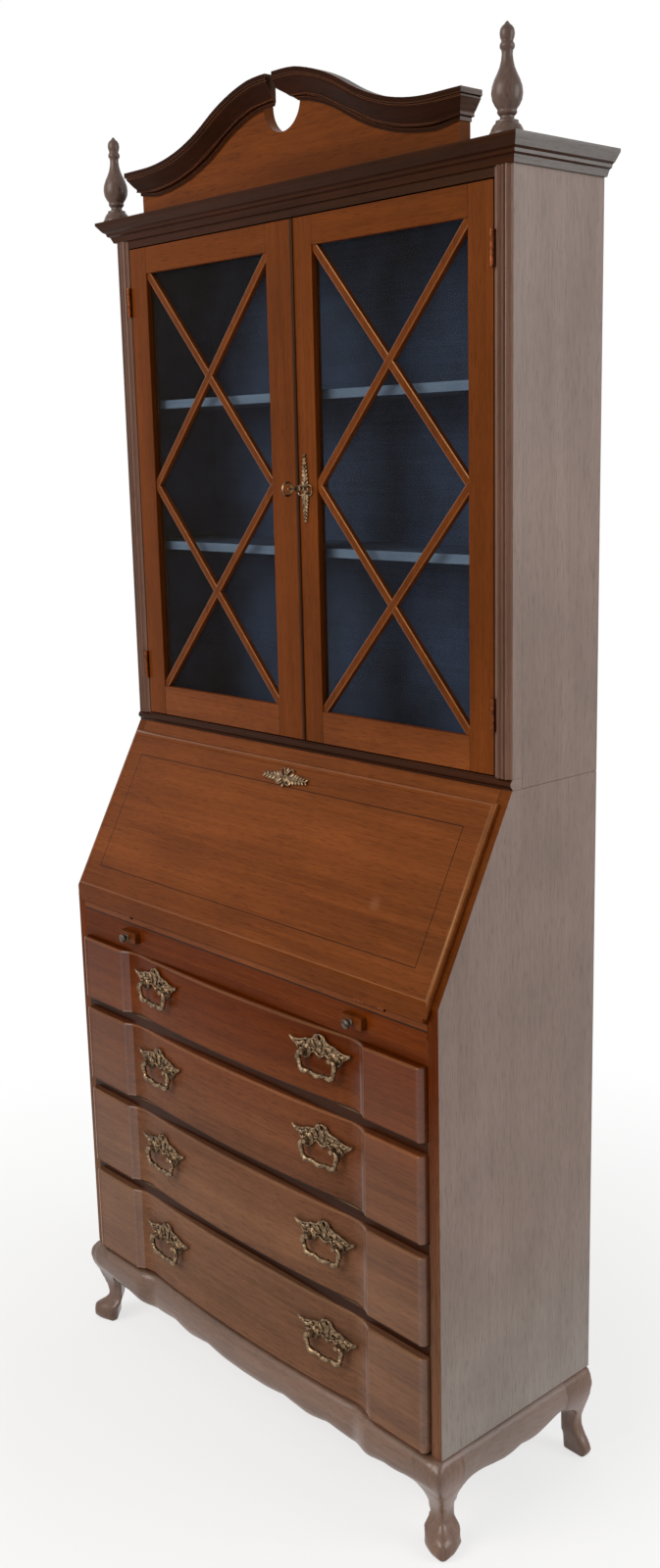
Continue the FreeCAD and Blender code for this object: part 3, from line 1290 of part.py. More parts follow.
def scroll_mouldings():
    """A right scroll with its mitred return, and the same on the left."""
    proud = flat_number(size.scroll_proud)
    end = flat_number(pediment_half)
    face = flat_number(pediment_face)
    low = flat_number(case_top + size.scroll_low)
    high = flat_number(scroll_top)
    outer_x = flat_number(bend_outer)
    middle_x = flat_number(bend_middle)
    inner_x = flat_number(slot_half)
    crest_x = -flat_number(size.scroll_crest)

    def drop(run):
        return bend_radius.number - math.sqrt(bend_radius.number ** 2 - run ** 2)

    def on_hollow(x):
        return Vector(x, face, low + drop(outer_x - x))

    def on_crest(x):
        return Vector(x, face, high - drop(x - crest_x))

    start = Vector(end + proud, face, low)
    outer = on_hollow(outer_x)
    middle = on_hollow(middle_x)
    first_bend = Part.Arc(outer, on_hollow((outer_x + middle_x) / 2), middle).toShape()
    second_bend = Part.Arc(middle, on_crest((middle_x + inner_x) / 2), on_crest(inner_x)).toShape()
    path = Part.Wire([Part.makeLine(start, outer), first_bend, second_bend])
    section = scroll_section()
    section.translate(start)
    scroll = path.makePipeShell([section], True, False)
    past = proud * 1.2
    tall = flat_number(size.scroll_height)

    def waste(points):
        corners = [Vector(x, y, low - tall - 1) for x, y in points]
        return Part.Face(Part.makePolygon(corners + corners[:1])).extrude(Vector(0, 0, tall + 2))

    scroll = scroll.cut(waste(((end, face), (end + past, face - past), (end + past, face))))
    turned_section = scroll_section()
    turned_section.rotate(Vector(0, 0, 0), Vector(0, 0, 1), 90)
    turned_section.translate(Vector(end, face - proud, low))
    thick = flat_number(size.pediment_thickness)
    end_return = Part.Face(turned_section).extrude(Vector(0, proud + thick, 0))
    end_return = end_return.cut(waste(((end, face), (end + past, face - past), (end, face - past))))
    right = [scroll.Solids[0], end_return.Solids[0]]
    left = [one.mirror(Vector(0, 0, 0), Vector(1, 0, 0)) for one in right]
    return Part.makeCompound(right + left)


keep(shaped("pediment_mouldings", scroll_mouldings()))

# Finials on the cornice corners

tall = size.finial_height
belly = size.finial_radius
foot = size.finial_foot_radius
finial_profile = [(0, 0), (foot, 0), (foot, tall * 0.025), (foot * 0.85, tall * 0.05),
                  (foot * 0.64, tall * 0.115), (foot * 0.64, tall * 0.13), (belly * 0.46, tall * 0.14),
                  (belly * 0.46, tall * 0.17), (belly * 0.61, tall * 0.19), (belly * 0.61, tall * 0.225),
                  (belly * 0.68, tall * 0.24, belly * 1.65, 1), (belly * 0.58, tall * 0.55),
                  (belly * 0.36, tall * 0.65), (belly * 0.33, tall * 0.74), (belly * 0.47, tall * 0.765),
                  (belly * 0.47, tall * 0.80), (belly * 0.42, tall * 0.825, belly * 1.5, 1),
                  (belly * 0.38, tall * 0.955), (0, tall)]


def finial(name, side):
    """A turned spindle on the cornice."""
    spindle = turned(name, finial_profile)
    return place(spindle, side * (half - size.finial_inset), upper_front - size.finial_proud, case_top)


keep(both_sides("finials", finial))

# Check everything, then write one file per sub-part

document.recompute()
for thing in document.Objects:
    for word in ("Invalid", "Error"):
        if word in thing.State:
            raise RuntimeError(thing.Name + " is " + word)
for node in nodes:
    if node.Shape.isNull() or not node.Shape.isValid() or not node.Shape.Solids:
        raise RuntimeError(node.Name + " has no sound shape")
os.makedirs("parts", exist_ok=True)
for node in nodes:
    node.Label = node.Name
    node.Shape.exportStep(os.path.join("parts", node.Label + ".step"))
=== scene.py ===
"""Looks of a slant-front bureau bookcase in polished mahogany, old glass and cast brass."""

import json
import math

import bmesh
import bpy
from bpy.props import FloatProperty, FloatVectorProperty, IntProperty, PointerProperty
from mathutils import Matrix, Vector

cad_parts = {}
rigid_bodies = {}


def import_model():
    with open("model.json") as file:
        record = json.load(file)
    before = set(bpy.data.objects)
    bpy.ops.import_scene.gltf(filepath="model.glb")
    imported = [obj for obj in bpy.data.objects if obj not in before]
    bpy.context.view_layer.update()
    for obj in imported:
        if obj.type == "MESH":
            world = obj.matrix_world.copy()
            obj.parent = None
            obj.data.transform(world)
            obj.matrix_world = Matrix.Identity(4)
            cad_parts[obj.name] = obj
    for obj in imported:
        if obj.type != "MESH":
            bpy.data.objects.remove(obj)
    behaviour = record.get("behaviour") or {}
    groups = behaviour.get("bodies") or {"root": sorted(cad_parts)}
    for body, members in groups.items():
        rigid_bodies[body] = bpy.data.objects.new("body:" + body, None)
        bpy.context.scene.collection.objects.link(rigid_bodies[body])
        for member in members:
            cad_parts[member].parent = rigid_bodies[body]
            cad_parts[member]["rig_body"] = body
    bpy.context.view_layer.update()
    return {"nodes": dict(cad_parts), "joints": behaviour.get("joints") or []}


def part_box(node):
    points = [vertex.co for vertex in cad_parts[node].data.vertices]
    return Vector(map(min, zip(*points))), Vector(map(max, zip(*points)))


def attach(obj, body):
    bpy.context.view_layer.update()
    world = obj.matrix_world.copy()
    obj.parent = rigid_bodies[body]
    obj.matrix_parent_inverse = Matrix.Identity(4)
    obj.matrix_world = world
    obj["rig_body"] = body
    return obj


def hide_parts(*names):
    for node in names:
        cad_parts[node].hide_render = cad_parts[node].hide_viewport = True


bl_info = {
    "name": "Bureau bookcase",
    "version": (1, 0, 0),
    "blender": (4, 5, 0),
    "location": "3D View > Sidebar > Bureau",
    "description": "Polished mahogany, old glass and cast brass for a slant-front bureau bookcase",
    "category": "Object",
}

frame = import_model()
MM = 0.001
DRAWERS = (1, 2, 3, 4)
SIDES = (("left", -1), ("right", 1))
BOOKCASE_FRONT = -5 * MM
# Faces that meet at less than the first angle are shaded as one; edges above the second are rounded over.
SMOOTH_BELOW = math.radians(38)
ROUND_ABOVE = math.radians(40)
# Turns the axis of a turned piece from upright to the front.
FORWARD = Matrix.Rotation(math.radians(90), 4, "X")


def linear(code):
    """An sRGB hex colour as linear red, green and blue."""
    parts = [int(code[i:i + 2], 16) / 255 for i in (0, 2, 4)]
    return [p / 12.92 if p <= 0.04045 else ((p + 0.055) / 1.055) ** 2.4 for p in parts]


def colour(name, code, description):
    """A colour that a user may change."""
    return FloatVectorProperty(name=name, description=description, subtype="COLOR", size=3, min=0, max=1,
                               default=linear(code))


def length(name, millimetres, description):
    """A length that a user may change."""
    return FloatProperty(name=name, description=description, unit="LENGTH", default=millimetres * MM, min=0)


# Sizes and colours

class BureauSizes(bpy.types.PropertyGroup):
    """Sizes of edges, beads and mouldings."""
    board_edge: length("Board edge", 1.2, "Rounding of a board's edges")
    drawer_edge: length("Drawer edge", 4.0, "Rounding of a drawer front's edges")
    drawer_end: length("Drawer end", 12.0, "Rounding of a drawer front's ends")
    drawer_bead: length("Drawer bead", 1.6, "Step of the bead inside a drawer front's edges")
    bead_depth: length("Bead depth", 1.0, "Depth of that step")
    cove_width: length("Cove", 42.0, "Cove beside a drawer's end block")
    leg_grain: length("Base carving", 3.3, "Fineness of the carved base")
    fall_edge: length("Fall edge", 5.0, "Thumbnail rounding of the fall's lip")
    fall_step: length("Fall step", 4.0, "Fillet inside the thumbnail")
    band_width: length("Crossband", 30.0, "Crossband round the fall")
    line_width: length("Stringing", 1.4, "Dark line inside the crossband")
    stile_width: length("Door stile", 44.0, "Outer door stile")
    meeting_width: length("Meeting stile", 51.0, "Seen glass from the middle of the case")
    top_rail: length("Door top rail", 41.0, "Door top rail")
    bottom_rail: length("Door bottom rail", 49.0, "Door bottom rail")
    bar_width: length("Glazing bar", 13.0, "Glazing bar across")
    bar_depth: length("Glazing bar depth", 8.0, "Glazing bar in front of the glass")
    turning_steps: IntProperty(name="Turning steps", description="Facets of a turned piece", default=40,
                               min=8)


# Finishes whose colours a user may change: label, lit or rubbed parts, dark parts
TONES = {
    "drawer": ("Drawer fronts", "6a2f08", "512004"),
    "fall": ("Fall", "7d431e", "633214"),
    "door": ("Doors", "6f3812", "582a0b"),
    "side": ("Faded sides", "816e65", "766359"),
    "end": ("Greyed cornice ends", "706b68", "645e5b"),
    "base": ("Base", "7c5e4d", "5f4638"),
    "moulding": ("Mouldings", "391a0c", "251007"),
    # Pediment mouldings: the moulding wood darkened further as painted shade on their lamp-lit slope
    "crest": ("Pediment mouldings", "2c1106", "1d0a03"),
    # Rubbed edges: partly real wear, partly painted highlight where upper edges catch the light
    "edge": ("Rubbed edges", "7f421c", "582c10"),
    "turned": ("Finials", "665046", "4a3830"),
    "reed": ("Reeded pilasters", "775442", "573b2e"),
    # Painted reflection of the pale floor on the lower drawers
    "faded": ("Drawers near the floor", "7f5941", "634434"),
    "inner": ("Planed poplar", "a08262", "7b6046"),
    "paint": ("Navy distemper", "35435f", "222b40"),
    "shelf": ("Pale blue shelf edges", "7a8598", "606a7d"),
    # Painted reflection of the pale floor on the lower sides
    "bloom": ("Sides near the floor", "8d837d", "81766f"),
    "brass": ("Cast brass", "967d60", "46352a"),
    "knob": ("Loper knobs", "6a5f54", "2f2721"),
    "hinge": ("Hinges", "7c4424", "4c2613"),
}


def colour_pairs():
    """A light and a dark colour for every row of the table."""
    pairs = {}
    for word, (label, light, dark) in TONES.items():
        whose = " of the " + label.lower()
        pairs[word + "_light"] = colour(label + ", light", light, "Lit grain or rubbed parts" + whose)
        pairs[word + "_dark"] = colour(label + ", dark", dark, "Dark grain or hollows" + whose)
    return pairs


class BureauColours(bpy.types.PropertyGroup):
    """Colours of woods, metals and paint."""
    __annotations__ = colour_pairs()


# Materials

def add(tree, kind, settings=None, links=None):
    """Add a node, set its properties, sockets and colour stops, and link it to sockets or first outputs."""
    node = tree.nodes.new(kind)
    for name, value in (settings or {}).items():
        if name == "stops":
            stops = node.color_ramp.elements
            for i, (place, tint) in enumerate(value):
                stop = stops[i] if i < 2 else stops.new(place)
                stop.position = place
                stop.color = (*tint, 1)
        elif isinstance(name, int) or name in node.inputs:
            node.inputs[name].default_value = value
        else:
            setattr(node, name, value)
    for name, source in (links or {}).items():
        socket = source.outputs[0] if isinstance(source, bpy.types.Node) else source
        tree.links.new(socket, node.inputs[name])
    return node


def new_material(name, surface, *settings):
    """A material; its surface function adds nodes on the place on the piece and gives back their shader."""
    material = bpy.data.materials.new(name)
    material.use_nodes = True
    tree = material.node_tree
    tree.nodes.clear()
    place = add(tree, "ShaderNodeTexCoord").outputs["Object"]
    add(tree, "ShaderNodeOutputMaterial", None, {"Surface": surface(tree, place, *settings)})
    return material


def grain(tree, place, axis, along, across, settings):
    """A noise drawn out along one axis, from its real length and width in mm."""
    spans = [across * MM] * 3
    spans[axis] = along * MM
    stretched = add(tree, "ShaderNodeMapping", {"Scale": [1 / span for span in spans]}, {"Vector": place})
    return add(tree, "ShaderNodeTexNoise", {"Scale": 1.0, **settings}, {"Vector": stretched})


def mahogany(tree, place, light, dark, axis, gloss, shine, tint, mark, fade):
    """French-polished mahogany: ribbon figure, fine streaks and pores, clouded by age under a low shine."""
    ribbon = grain(tree, place, axis, 600, 45, {"Detail": 3.0, "Roughness": 0.55, "Distortion": 0.5})
    streaks = grain(tree, place, axis, 220, 5, {"Detail": 3.0, "Roughness": 0.6})
    blend = add(tree, "ShaderNodeMix", {"data_type": "FLOAT", 0: 0.4}, {2: ribbon, 3: streaks})
    tone = add(tree, "ShaderNodeValToRGB", {"stops": [(0.36, dark), (0.64, light)]}, {"Fac": blend})
    # Painted reflection of the pale floor: the wood pales towards the floor
    if fade:
        pale_light, pale_dark, low, high = fade
        height = add(tree, "ShaderNodeSeparateXYZ", None, {0: place}).outputs["Z"]
        paling = add(tree, "ShaderNodeMapRange",
                     {"From Min": low, "From Max": high, "To Min": 1.0, "To Max": 0.0}, {"Value": height})
        pale = add(tree, "ShaderNodeValToRGB", {"stops": [(0.36, pale_dark), (0.64, pale_light)]},
                   {"Fac": blend})
        tone = add(tree, "ShaderNodeMix", {"data_type": "RGBA"}, {0: paling, 6: tone, 7: pale}).outputs[2]
    # Pores are 0.3 mm wide in the wood and are drawn 1.2 mm wide, so that they show.
    pores = grain(tree, place, axis, 22, 1.2, {"Detail": 2.0})
    pits = add(tree, "ShaderNodeValToRGB", {"stops": [(0.36, (0.72, 0.68, 0.64)), (0.46, (1, 1, 1))]},
               {"Fac": pores})
    clouds = add(tree, "ShaderNodeTexNoise", {"Scale": 1 / (170 * MM), "Detail": 3.0, "Roughness": 0.55},
                 {"Vector": place})
    age = add(tree, "ShaderNodeValToRGB",
              {"stops": [(0.28, (0.84, 0.81, 0.785)), (0.72, (1.08, 1.05, 1.025))]}, {"Fac": clouds})
    for veil in (pits, age):
        tone = add(tree, "ShaderNodeMix", {"data_type": "RGBA", "blend_type": "MULTIPLY", 0: 1.0},
                   {6: tone, 7: veil}).outputs[2]
    if mark:
        centre, radius, pale_mark = mark
        away = add(tree, "ShaderNodeVectorMath", {"operation": "DISTANCE", 1: centre}, {0: place})
        ring = add(tree, "ShaderNodeMapRange",
                   {"From Min": radius, "From Max": radius * 0.4, "To Min": 0.0, "To Max": 0.26},
                   {"Value": away.outputs["Value"]})
        tone = add(tree, "ShaderNodeMix", {"data_type": "RGBA", 7: (*pale_mark, 1)},
                   {0: ring, 6: tone}).outputs[2]
    rough = add(tree, "ShaderNodeMapRange", {"To Min": gloss + 0.08, "To Max": gloss - 0.06},
                {"Value": clouds})
    relief = add(tree, "ShaderNodeBump", {"Strength": 0.10, "Distance": 0.3 * MM}, {"Height": pores})
    return add(tree, "ShaderNodeBsdfPrincipled",
               {"IOR": 1.5, "Specular IOR Level": shine, "Specular Tint": (*tint, 1)},
               {"Base Color": tone, "Roughness": rough, "Normal": relief})


def planed_wood(tree, place, light, dark, axis):
    """Planed poplar and pine inside the case: dull, dry, with faint wide grain."""
    figure = grain(tree, place, axis, 400, 12, {"Detail": 5.0, "Distortion": 0.4})
    tone = add(tree, "ShaderNodeValToRGB", {"stops": [(0.3, dark), (0.7, light)]}, {"Fac": figure})
    relief = add(tree, "ShaderNodeBump", {"Strength": 0.15, "Distance": 0.3 * MM}, {"Height": figure})
    return add(tree, "ShaderNodeBsdfPrincipled", {"Roughness": 0.68}, {"Base Color": tone, "Normal": relief})


def distemper(tree, place, light, dark):
    """Distemper brushed inside the bookcase: chalky, with brush marks and rubbed patches."""
    strokes = grain(tree, place, 0, 250, 6, {"Detail": 3.0})
    patches = add(tree, "ShaderNodeTexNoise", {"Scale": 1 / (90 * MM), "Detail": 4.0}, {"Vector": place})
    mixed = add(tree, "ShaderNodeMath", {"operation": "MULTIPLY_ADD", 1: 0.35}, {0: strokes, 2: patches})
    tone = add(tree, "ShaderNodeValToRGB", {"stops": [(0.45, dark), (0.85, light)]}, {"Fac": mixed})
    relief = add(tree, "ShaderNodeBump", {"Strength": 0.2, "Distance": 0.3 * MM}, {"Height": strokes})
    return add(tree, "ShaderNodeBsdfPrincipled", {"Roughness": 0.8}, {"Base Color": tone, "Normal": relief})


def old_brass(tree, place, light, dark):
    """Old brass, lacquer gone: lighter where it is rubbed, brown in the hollows, softly grainy."""
    tarnish = add(tree, "ShaderNodeTexNoise", {"Scale": 1 / (6 * MM), "Detail": 4.0, "Roughness": 0.6},
                  {"Vector": place})
    tone = add(tree, "ShaderNodeValToRGB", {"stops": [(0.36, dark), (0.62, light)]}, {"Fac": tarnish})
    rough = add(tree, "ShaderNodeMapRange", {"To Min": 0.55, "To Max": 0.26}, {"Value": tarnish})
    # Casting sand is about 0.3 mm and is drawn 1.2 mm wide, so that it shows.
    sand = add(tree, "ShaderNodeTexNoise", {"Scale": 1 / (1.2 * MM), "Detail": 2.0}, {"Vector": place})
    relief = add(tree, "ShaderNodeBump", {"Strength": 0.25, "Distance": 0.2 * MM}, {"Height": sand})
    return add(tree, "ShaderNodeBsdfPrincipled", {"Metallic": 1.0},
               {"Base Color": tone, "Roughness": rough, "Normal": relief})


def old_glass(tree, place):
    """Thin drawn glass: clear, a touch blue, with slow waves that bend its faint reflections; half of these
    is a film that is partly real dust and partly painted reflection.
    """
    waves = add(tree, "ShaderNodeTexNoise", {"Scale": 1 / (90 * MM), "Detail": 1.0}, {"Vector": place})
    relief = add(tree, "ShaderNodeBump", {"Strength": 0.04, "Distance": 1.0 * MM}, {"Height": waves})
    clear = add(tree, "ShaderNodeBsdfTransparent", {"Color": (*linear("eef3f5"), 1)})
    shine = add(tree, "ShaderNodeBsdfGlossy", {"Color": (0.05, 0.05, 0.05, 1), "Roughness": 0.12},
                {"Normal": relief})
    # Partly real dust, partly painted reflection: a brownish diffuse film in place of part of the glass's
    # reflection
    dust = add(tree, "ShaderNodeBsdfDiffuse", {"Color": (*linear("9a8a76"), 1)})
    film = add(tree, "ShaderNodeMixShader", {0: 0.5}, {1: shine, 2: dust})
    turn = add(tree, "ShaderNodeFresnel", {"IOR": 1.45})
    back = add(tree, "ShaderNodeNewGeometry").outputs["Backfacing"]
    outer = add(tree, "ShaderNodeMath", {"operation": "SUBTRACT", "use_clamp": True}, {0: turn, 1: back})
    return add(tree, "ShaderNodeMixShader", None, {0: outer, 1: clear, 2: film})


def dark_hole(tree, place):
    """A near-black disc over the keyhole as painted shade of its inside: soot-brown and dull, with a little
    dust.
    """
    dust = add(tree, "ShaderNodeTexNoise", {"Scale": 1 / (2 * MM)}, {"Vector": place})
    tone = add(tree, "ShaderNodeValToRGB", {"stops": [(0.3, linear("0b0806")), (0.8, linear("1d1510"))]},
               {"Fac": dust})
    return add(tree, "ShaderNodeBsdfPrincipled", {"Roughness": 0.9}, {"Base Color": tone})


AMBER, PALE_AMBER, CLEAR = linear("ffcf92"), linear("ffe7c8"), linear("ffffff")
# Each mahogany: whose colours it takes, its roughness, and the strength and tint of its shine
WOODS = {
    "drawer": ("drawer", 0.30, 0.06, AMBER),
    "block": ("drawer", 0.30, 0.18, PALE_AMBER),
    "cove": ("drawer", 0.26, 0.5, CLEAR),
    "lip": ("fall", 0.22, 0.6, AMBER),
    "turned": ("turned", 0.30, 0.3, CLEAR),
    "reed": ("reed", 0.30, 0.3, CLEAR),
    "fall": ("fall", 0.30, 0.10, AMBER),
    "door": ("door", 0.32, 0.08, AMBER),
    "side": ("side", 0.36, 0.45, CLEAR),
    "end": ("end", 0.36, 0.45, CLEAR),
    "apron": ("side", 0.36, 0.45, CLEAR),
    "base": ("base", 0.28, 0.5, CLEAR),
    "moulding": ("moulding", 0.32, 0.10, AMBER),
    # Moulding wood darkened as painted shade on the pediment's slope
    "crest": ("crest", 0.32, 0.05, AMBER),
    # Partly rubbed wear, partly painted highlight on upper edges
    "edge": ("edge", 0.26, 0.4, AMBER),
}
# Woods painted paler towards the floor, as painted reflection of the pale floor: the colours they pale to,
# where they are palest and where the change ends
FADES = {word: ("faded", 360 * MM, 720 * MM) for word in ("drawer", "block", "cove", "edge")}
# The sides pale towards the floor as well: painted reflection of the pale floor
FADES["side"] = ("bloom", 160 * MM, 460 * MM)
# The round mark that a wet glass left on the fall: its middle, radius and colour
MARKS = {"fall": ((266 * MM, -98.5 * MM, 920 * MM), 16 * MM, linear("b0805a"))}
PAINTS = {"paint": "navy_distemper_brushed", "shelf": "pale_blue_distemper_brushed"}
METALS = {"brass": "cast_brass_tarnished", "knob": "turned_brass_dull", "hinge": "rolled_brass_browned"}
FINISHES = {}


def light_and_dark(word):
    """The two colours that a user may change under this word."""
    colours = bpy.context.scene.bureau_colours
    return tuple(getattr(colours, word + "_light")), tuple(getattr(colours, word + "_dark"))


def make_finish(word, way):
    """A new material: the word names the finish, and the way is the axis that its grain follows."""
    axis = "xyz".find(way)
    if word in WOODS:
        owner, gloss, shine, tint = WOODS[word]
        fade = None
        # Painted reflection of the pale floor, for woods that pale towards it
        if word in FADES:
            pale, low, high = FADES[word]
            fade = (*light_and_dark(pale), low, high)
        return new_material("polished_mahogany_%s_grain_%s" % (word, way), mahogany, *light_and_dark(owner),
                            axis, gloss, shine, tint, MARKS.get(word), fade)
    if word == "inner":
        return new_material("planed_poplar_grain_" + way, planed_wood, *light_and_dark(word), axis)
    if word in PAINTS:
        return new_material(PAINTS[word], distemper, *light_and_dark(word))
    if word in METALS:
        return new_material(METALS[word], old_brass, *light_and_dark(word))
    if word == "glass":
        return new_material("drawn_glass_clear", old_glass)
    return new_material("keyhole_dark", dark_hole)


def finish(name):
    """The finish of a name such as brass or drawer_x, made when it is first asked for."""
    if name not in FINISHES:
        word, _, way = name.partition("_")
        FINISHES[name] = make_finish(word, way)
    return FINISHES[name]


# Mesh helpers

def share(value, start, end):
    """How far a value lies on the way from start to end, held between 0 and 1."""
    return min(max((value - start) / (end - start), 0), 1)


def hump(value, middle, reach):
    """1 at the middle, falling evenly to 0 at this reach from it."""
    return max(0, 1 - abs(value - middle) / reach)


def between(places, at):
    """The value at a place, read from a list of (place, value) pairs."""
    for (near, low), (far, high) in zip(places, places[1:]):
        if near <= at <= far:
            return low + (high - low) * (at - near) / (far - near)
    return places[0][1] if at < places[0][0] else places[-1][1]


def in_mm(pairs):
    """A list of pairs of millimetres as metres."""
    return [(first * MM, second * MM) for first, second in pairs]


def settle(bm, name, finishes, nodes):
    """Make a mesh a piece that stands for its CAD nodes and moves with their body."""
    for face in bm.faces:
        face.smooth = True
    for edge in bm.edges:
        edge.smooth = len(edge.link_faces) == 2 and edge.calc_face_angle(0) < SMOOTH_BELOW
    mesh = bpy.data.meshes.new(name)
    bm.to_mesh(mesh)
    bm.free()
    for word in finishes:
        mesh.materials.append(finish(word))
    piece = bpy.data.objects.new(name, mesh)
    bpy.context.scene.collection.objects.link(piece)
    even = piece.modifiers.new("even_shading", "WEIGHTED_NORMAL")
    even.keep_sharp = True
    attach(piece, frame["nodes"][nodes[0]]["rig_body"])
    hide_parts(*nodes)
    return piece


def settle_new(bm, name, finishes, node):
    """Turn every face of a newly built mesh outwards and make it a piece."""
    bmesh.ops.recalc_face_normals(bm, faces=bm.faces)
    settle(bm, name, finishes, [node])


def dress(node, word):
    """Give a CAD node that stays its finish."""
    frame["nodes"][node].data.materials.clear()
    frame["nodes"][node].data.materials.append(finish(word))


def solid_of(node):
    """A CAD node's shape with its triangles joined to plain faces."""
    bm = bmesh.new()
    bm.from_mesh(frame["nodes"][node].data)
    bmesh.ops.remove_doubles(bm, verts=bm.verts, dist=0.01 * MM)
    bmesh.ops.dissolve_limit(bm, angle_limit=math.radians(0.6), verts=bm.verts, edges=bm.edges)
    return bm


def edges_of(verts):
    """The edges at some vertices, each once."""
    return list(dict.fromkeys(edge for vert in verts for edge in vert.link_edges))


def only(kind, parts):
    """The vertices or edges among some parts of a mesh."""
    return [part for part in parts if isinstance(part, kind)]


def cut_round(bm, place, facing):
    """Cut new edges round a mesh where a plane crosses it."""
    bmesh.ops.bisect_plane(bm, geom=[*bm.verts, *bm.edges, *bm.faces], plane_co=place, plane_no=facing)


def round_edges(bm, edges, width, segments=2):
    """Round some edges over; the new faces come back."""
    return bmesh.ops.bevel(bm, geom=edges, offset=width, offset_type="OFFSET", affect="EDGES",
                           segments=segments, profile=0.5, material=-1, clamp_overlap=True)["faces"]


def sharp_edges(bm):
    """Edges between two faces that meet at a sharp angle."""
    return [e for e in bm.edges if len(e.link_faces) == 2 and e.calc_face_angle(0) > ROUND_ABOVE]


def softened(node, width, word, *others, parted=(), carve=None):
    """A CAD node with its edges rounded over; others are (finish, test) pairs for faces that differ."""
    bm = solid_of(node)
    for height in parted:
        cut_round(bm, (0, 0, height), (0, 0, 1))
    if carve:
        carve(bm)
    round_edges(bm, sharp_edges(bm), width)
    for number, (_, test) in enumerate(others, 1):
        for face in bm.faces:
            if test(face):
                face.material_index = number
    settle(bm, node + "_polished", [word] + [other for other, _ in others], [node])


def to_front(face):
    """A face that looks to the front."""
    return face.normal.y < -0.6


def to_side(face):
    """A face that looks to the left or right."""
    return abs(face.normal.x) > 0.6


def flat_to_side(face):
    """A face that looks straight to the left or right."""
    return abs(face.normal.x) > 0.95


def beside_fall(face):
    """The slanted front edge of a side, beside the fall."""
    return face.normal.y < -0.6 and face.normal.z > 0.2


def to_middle(face):
    """A face of a side that looks into the case."""
    return face.normal.x * face.calc_center_median().x < -0.2


def front_between(low, high):
    """A test for front faces between two heights."""
    return lambda face: to_front(face) and low < face.calc_center_median().z < high


def add_board(bm, low, high, width, material):
    """A board between two corners with softened edges."""
    spans = Vector(high) - Vector(low)
    place = Matrix.Translation((Vector(low) + Vector(high)) / 2) @ Matrix.Diagonal((*spans, 1))
    verts = bmesh.ops.create_cube(bm, size=1, matrix=place)["verts"]
    for vert in verts:
        for face in vert.link_faces:
            face.material_index = material
    for face in round_edges(bm, edges_of(verts), width):
        face.material_index = material


def add_turning(bm, profile, place, steps, material=0):
    """A turned piece: a half outline of (radius, height) points spun about its own axis."""
    before = set(bm.verts)
    line = [bm.verts.new((profile[0][0], 0, profile[0][1]))]
    edges = []
    for radius, height in profile[1:]:
        grown = bmesh.ops.extrude_vert_indiv(bm, verts=[line[-1]])
        grown["verts"][0].co = (radius, 0, height)
        line += grown["verts"]
        edges += grown["edges"]
    bmesh.ops.spin(bm, geom=line + edges, cent=(0, 0, 0), axis=(0, 0, 1), angle=math.tau, steps=steps,
                   use_merge=True)
    bmesh.ops.remove_doubles(bm, verts=[v for v in bm.verts if v not in before], dist=0.005 * MM)
    verts = [v for v in bm.verts if v not in before]
    faces = list(dict.fromkeys(face for vert in verts for face in vert.link_faces))
    bmesh.ops.recalc_face_normals(bm, faces=faces)
    for face in faces:
        face.material_index = material
    bmesh.ops.transform(bm, matrix=place, verts=verts)


def add_tube(bm, path, radii, sides=8):
    """A bar that follows a path, its thickness changing from point to point, closed at both ends."""
    points = [Vector(p) for p in path]
    headings = [(points[min(i + 1, len(points) - 1)] - points[max(i - 1, 0)]).normalized()
                for i in range(len(points))]
    turn = Vector((0, 0, 1)).rotation_difference(headings[0])
    ring = bmesh.ops.create_circle(bm, cap_ends=True, segments=sides, radius=radii[0],
                                   matrix=Matrix.Translation(points[0]) @ turn.to_matrix().to_4x4())["verts"]
    loop = edges_of(ring)
    for i in range(1, len(points)):
        grown = bmesh.ops.extrude_edge_only(bm, edges=loop)["geom"]
        ring = only(bmesh.types.BMVert, grown)
        loop = [edge for edge in only(bmesh.types.BMEdge, grown) if all(vert in ring for vert in edge.verts)]
        bmesh.ops.translate(bm, vec=points[i] - points[i - 1], verts=ring)
        turn = headings[i - 1].rotation_difference(headings[i]).to_matrix().to_4x4()
        grow = Matrix.Scale(radii[i] / radii[i - 1], 4)
        about = Matrix.Translation(points[i])
        bmesh.ops.transform(bm, matrix=about @ turn @ grow @ about.inverted(), verts=ring)
    bmesh.ops.edgeloop_fill(bm, edges=loop)


def add_moved(bm, place, maker, *settings):
    """Build something about the origin and move it to its place."""
    before = set(bm.verts)
    maker(bm, *settings)
    bmesh.ops.transform(bm, matrix=place, verts=[v for v in bm.verts if v not in before])


def add_bead(bm, centre, spans, lean=0.0):
    """An oval bead or leaf lobe, leaning in the plane of its plate."""
    place = Matrix.Translation(centre) @ Matrix.Rotation(lean, 4, "Y") @ Matrix.Diagonal((*spans, 1))
    bmesh.ops.create_uvsphere(bm, u_segments=10, v_segments=6, radius=1.0, matrix=place)


def curl(start, heading, step, count, bend, tighten):
    """Points of a scroll in the plate's plane: it starts along a heading and bends more at every step."""
    shorten = 0.94
    points = [Vector(start)]
    for _ in range(count):
        points.append(points[-1] + Vector((math.cos(heading), 0, math.sin(heading))) * step)
        heading += bend
        bend *= tighten
        step *= shorten
    return points


def taper(count, thick, thin):
    """Thicknesses that fall evenly from one end of a scroll to the other."""
    return [thick + (thin - thick) * i / (count - 1) for i in range(count)]


def add_scroll(bm, start, heading, step, count, bend, tighten, thick, side):
    """A tapering scroll that ends in a bead, on one side of the plate's middle."""
    path = curl(start, heading, step, count, bend, tighten)
    path = [Vector((p.x * side, p.y, p.z)) for p in path]
    add_tube(bm, path, taper(len(path), thick, thick * 0.55))
    add_bead(bm, path[-1], (thick * 1.05, thick * 0.9, thick * 1.05))


class BureauStep:
    """What every step shares."""
    bl_options = {"REGISTER", "UNDO"}


# Pieces

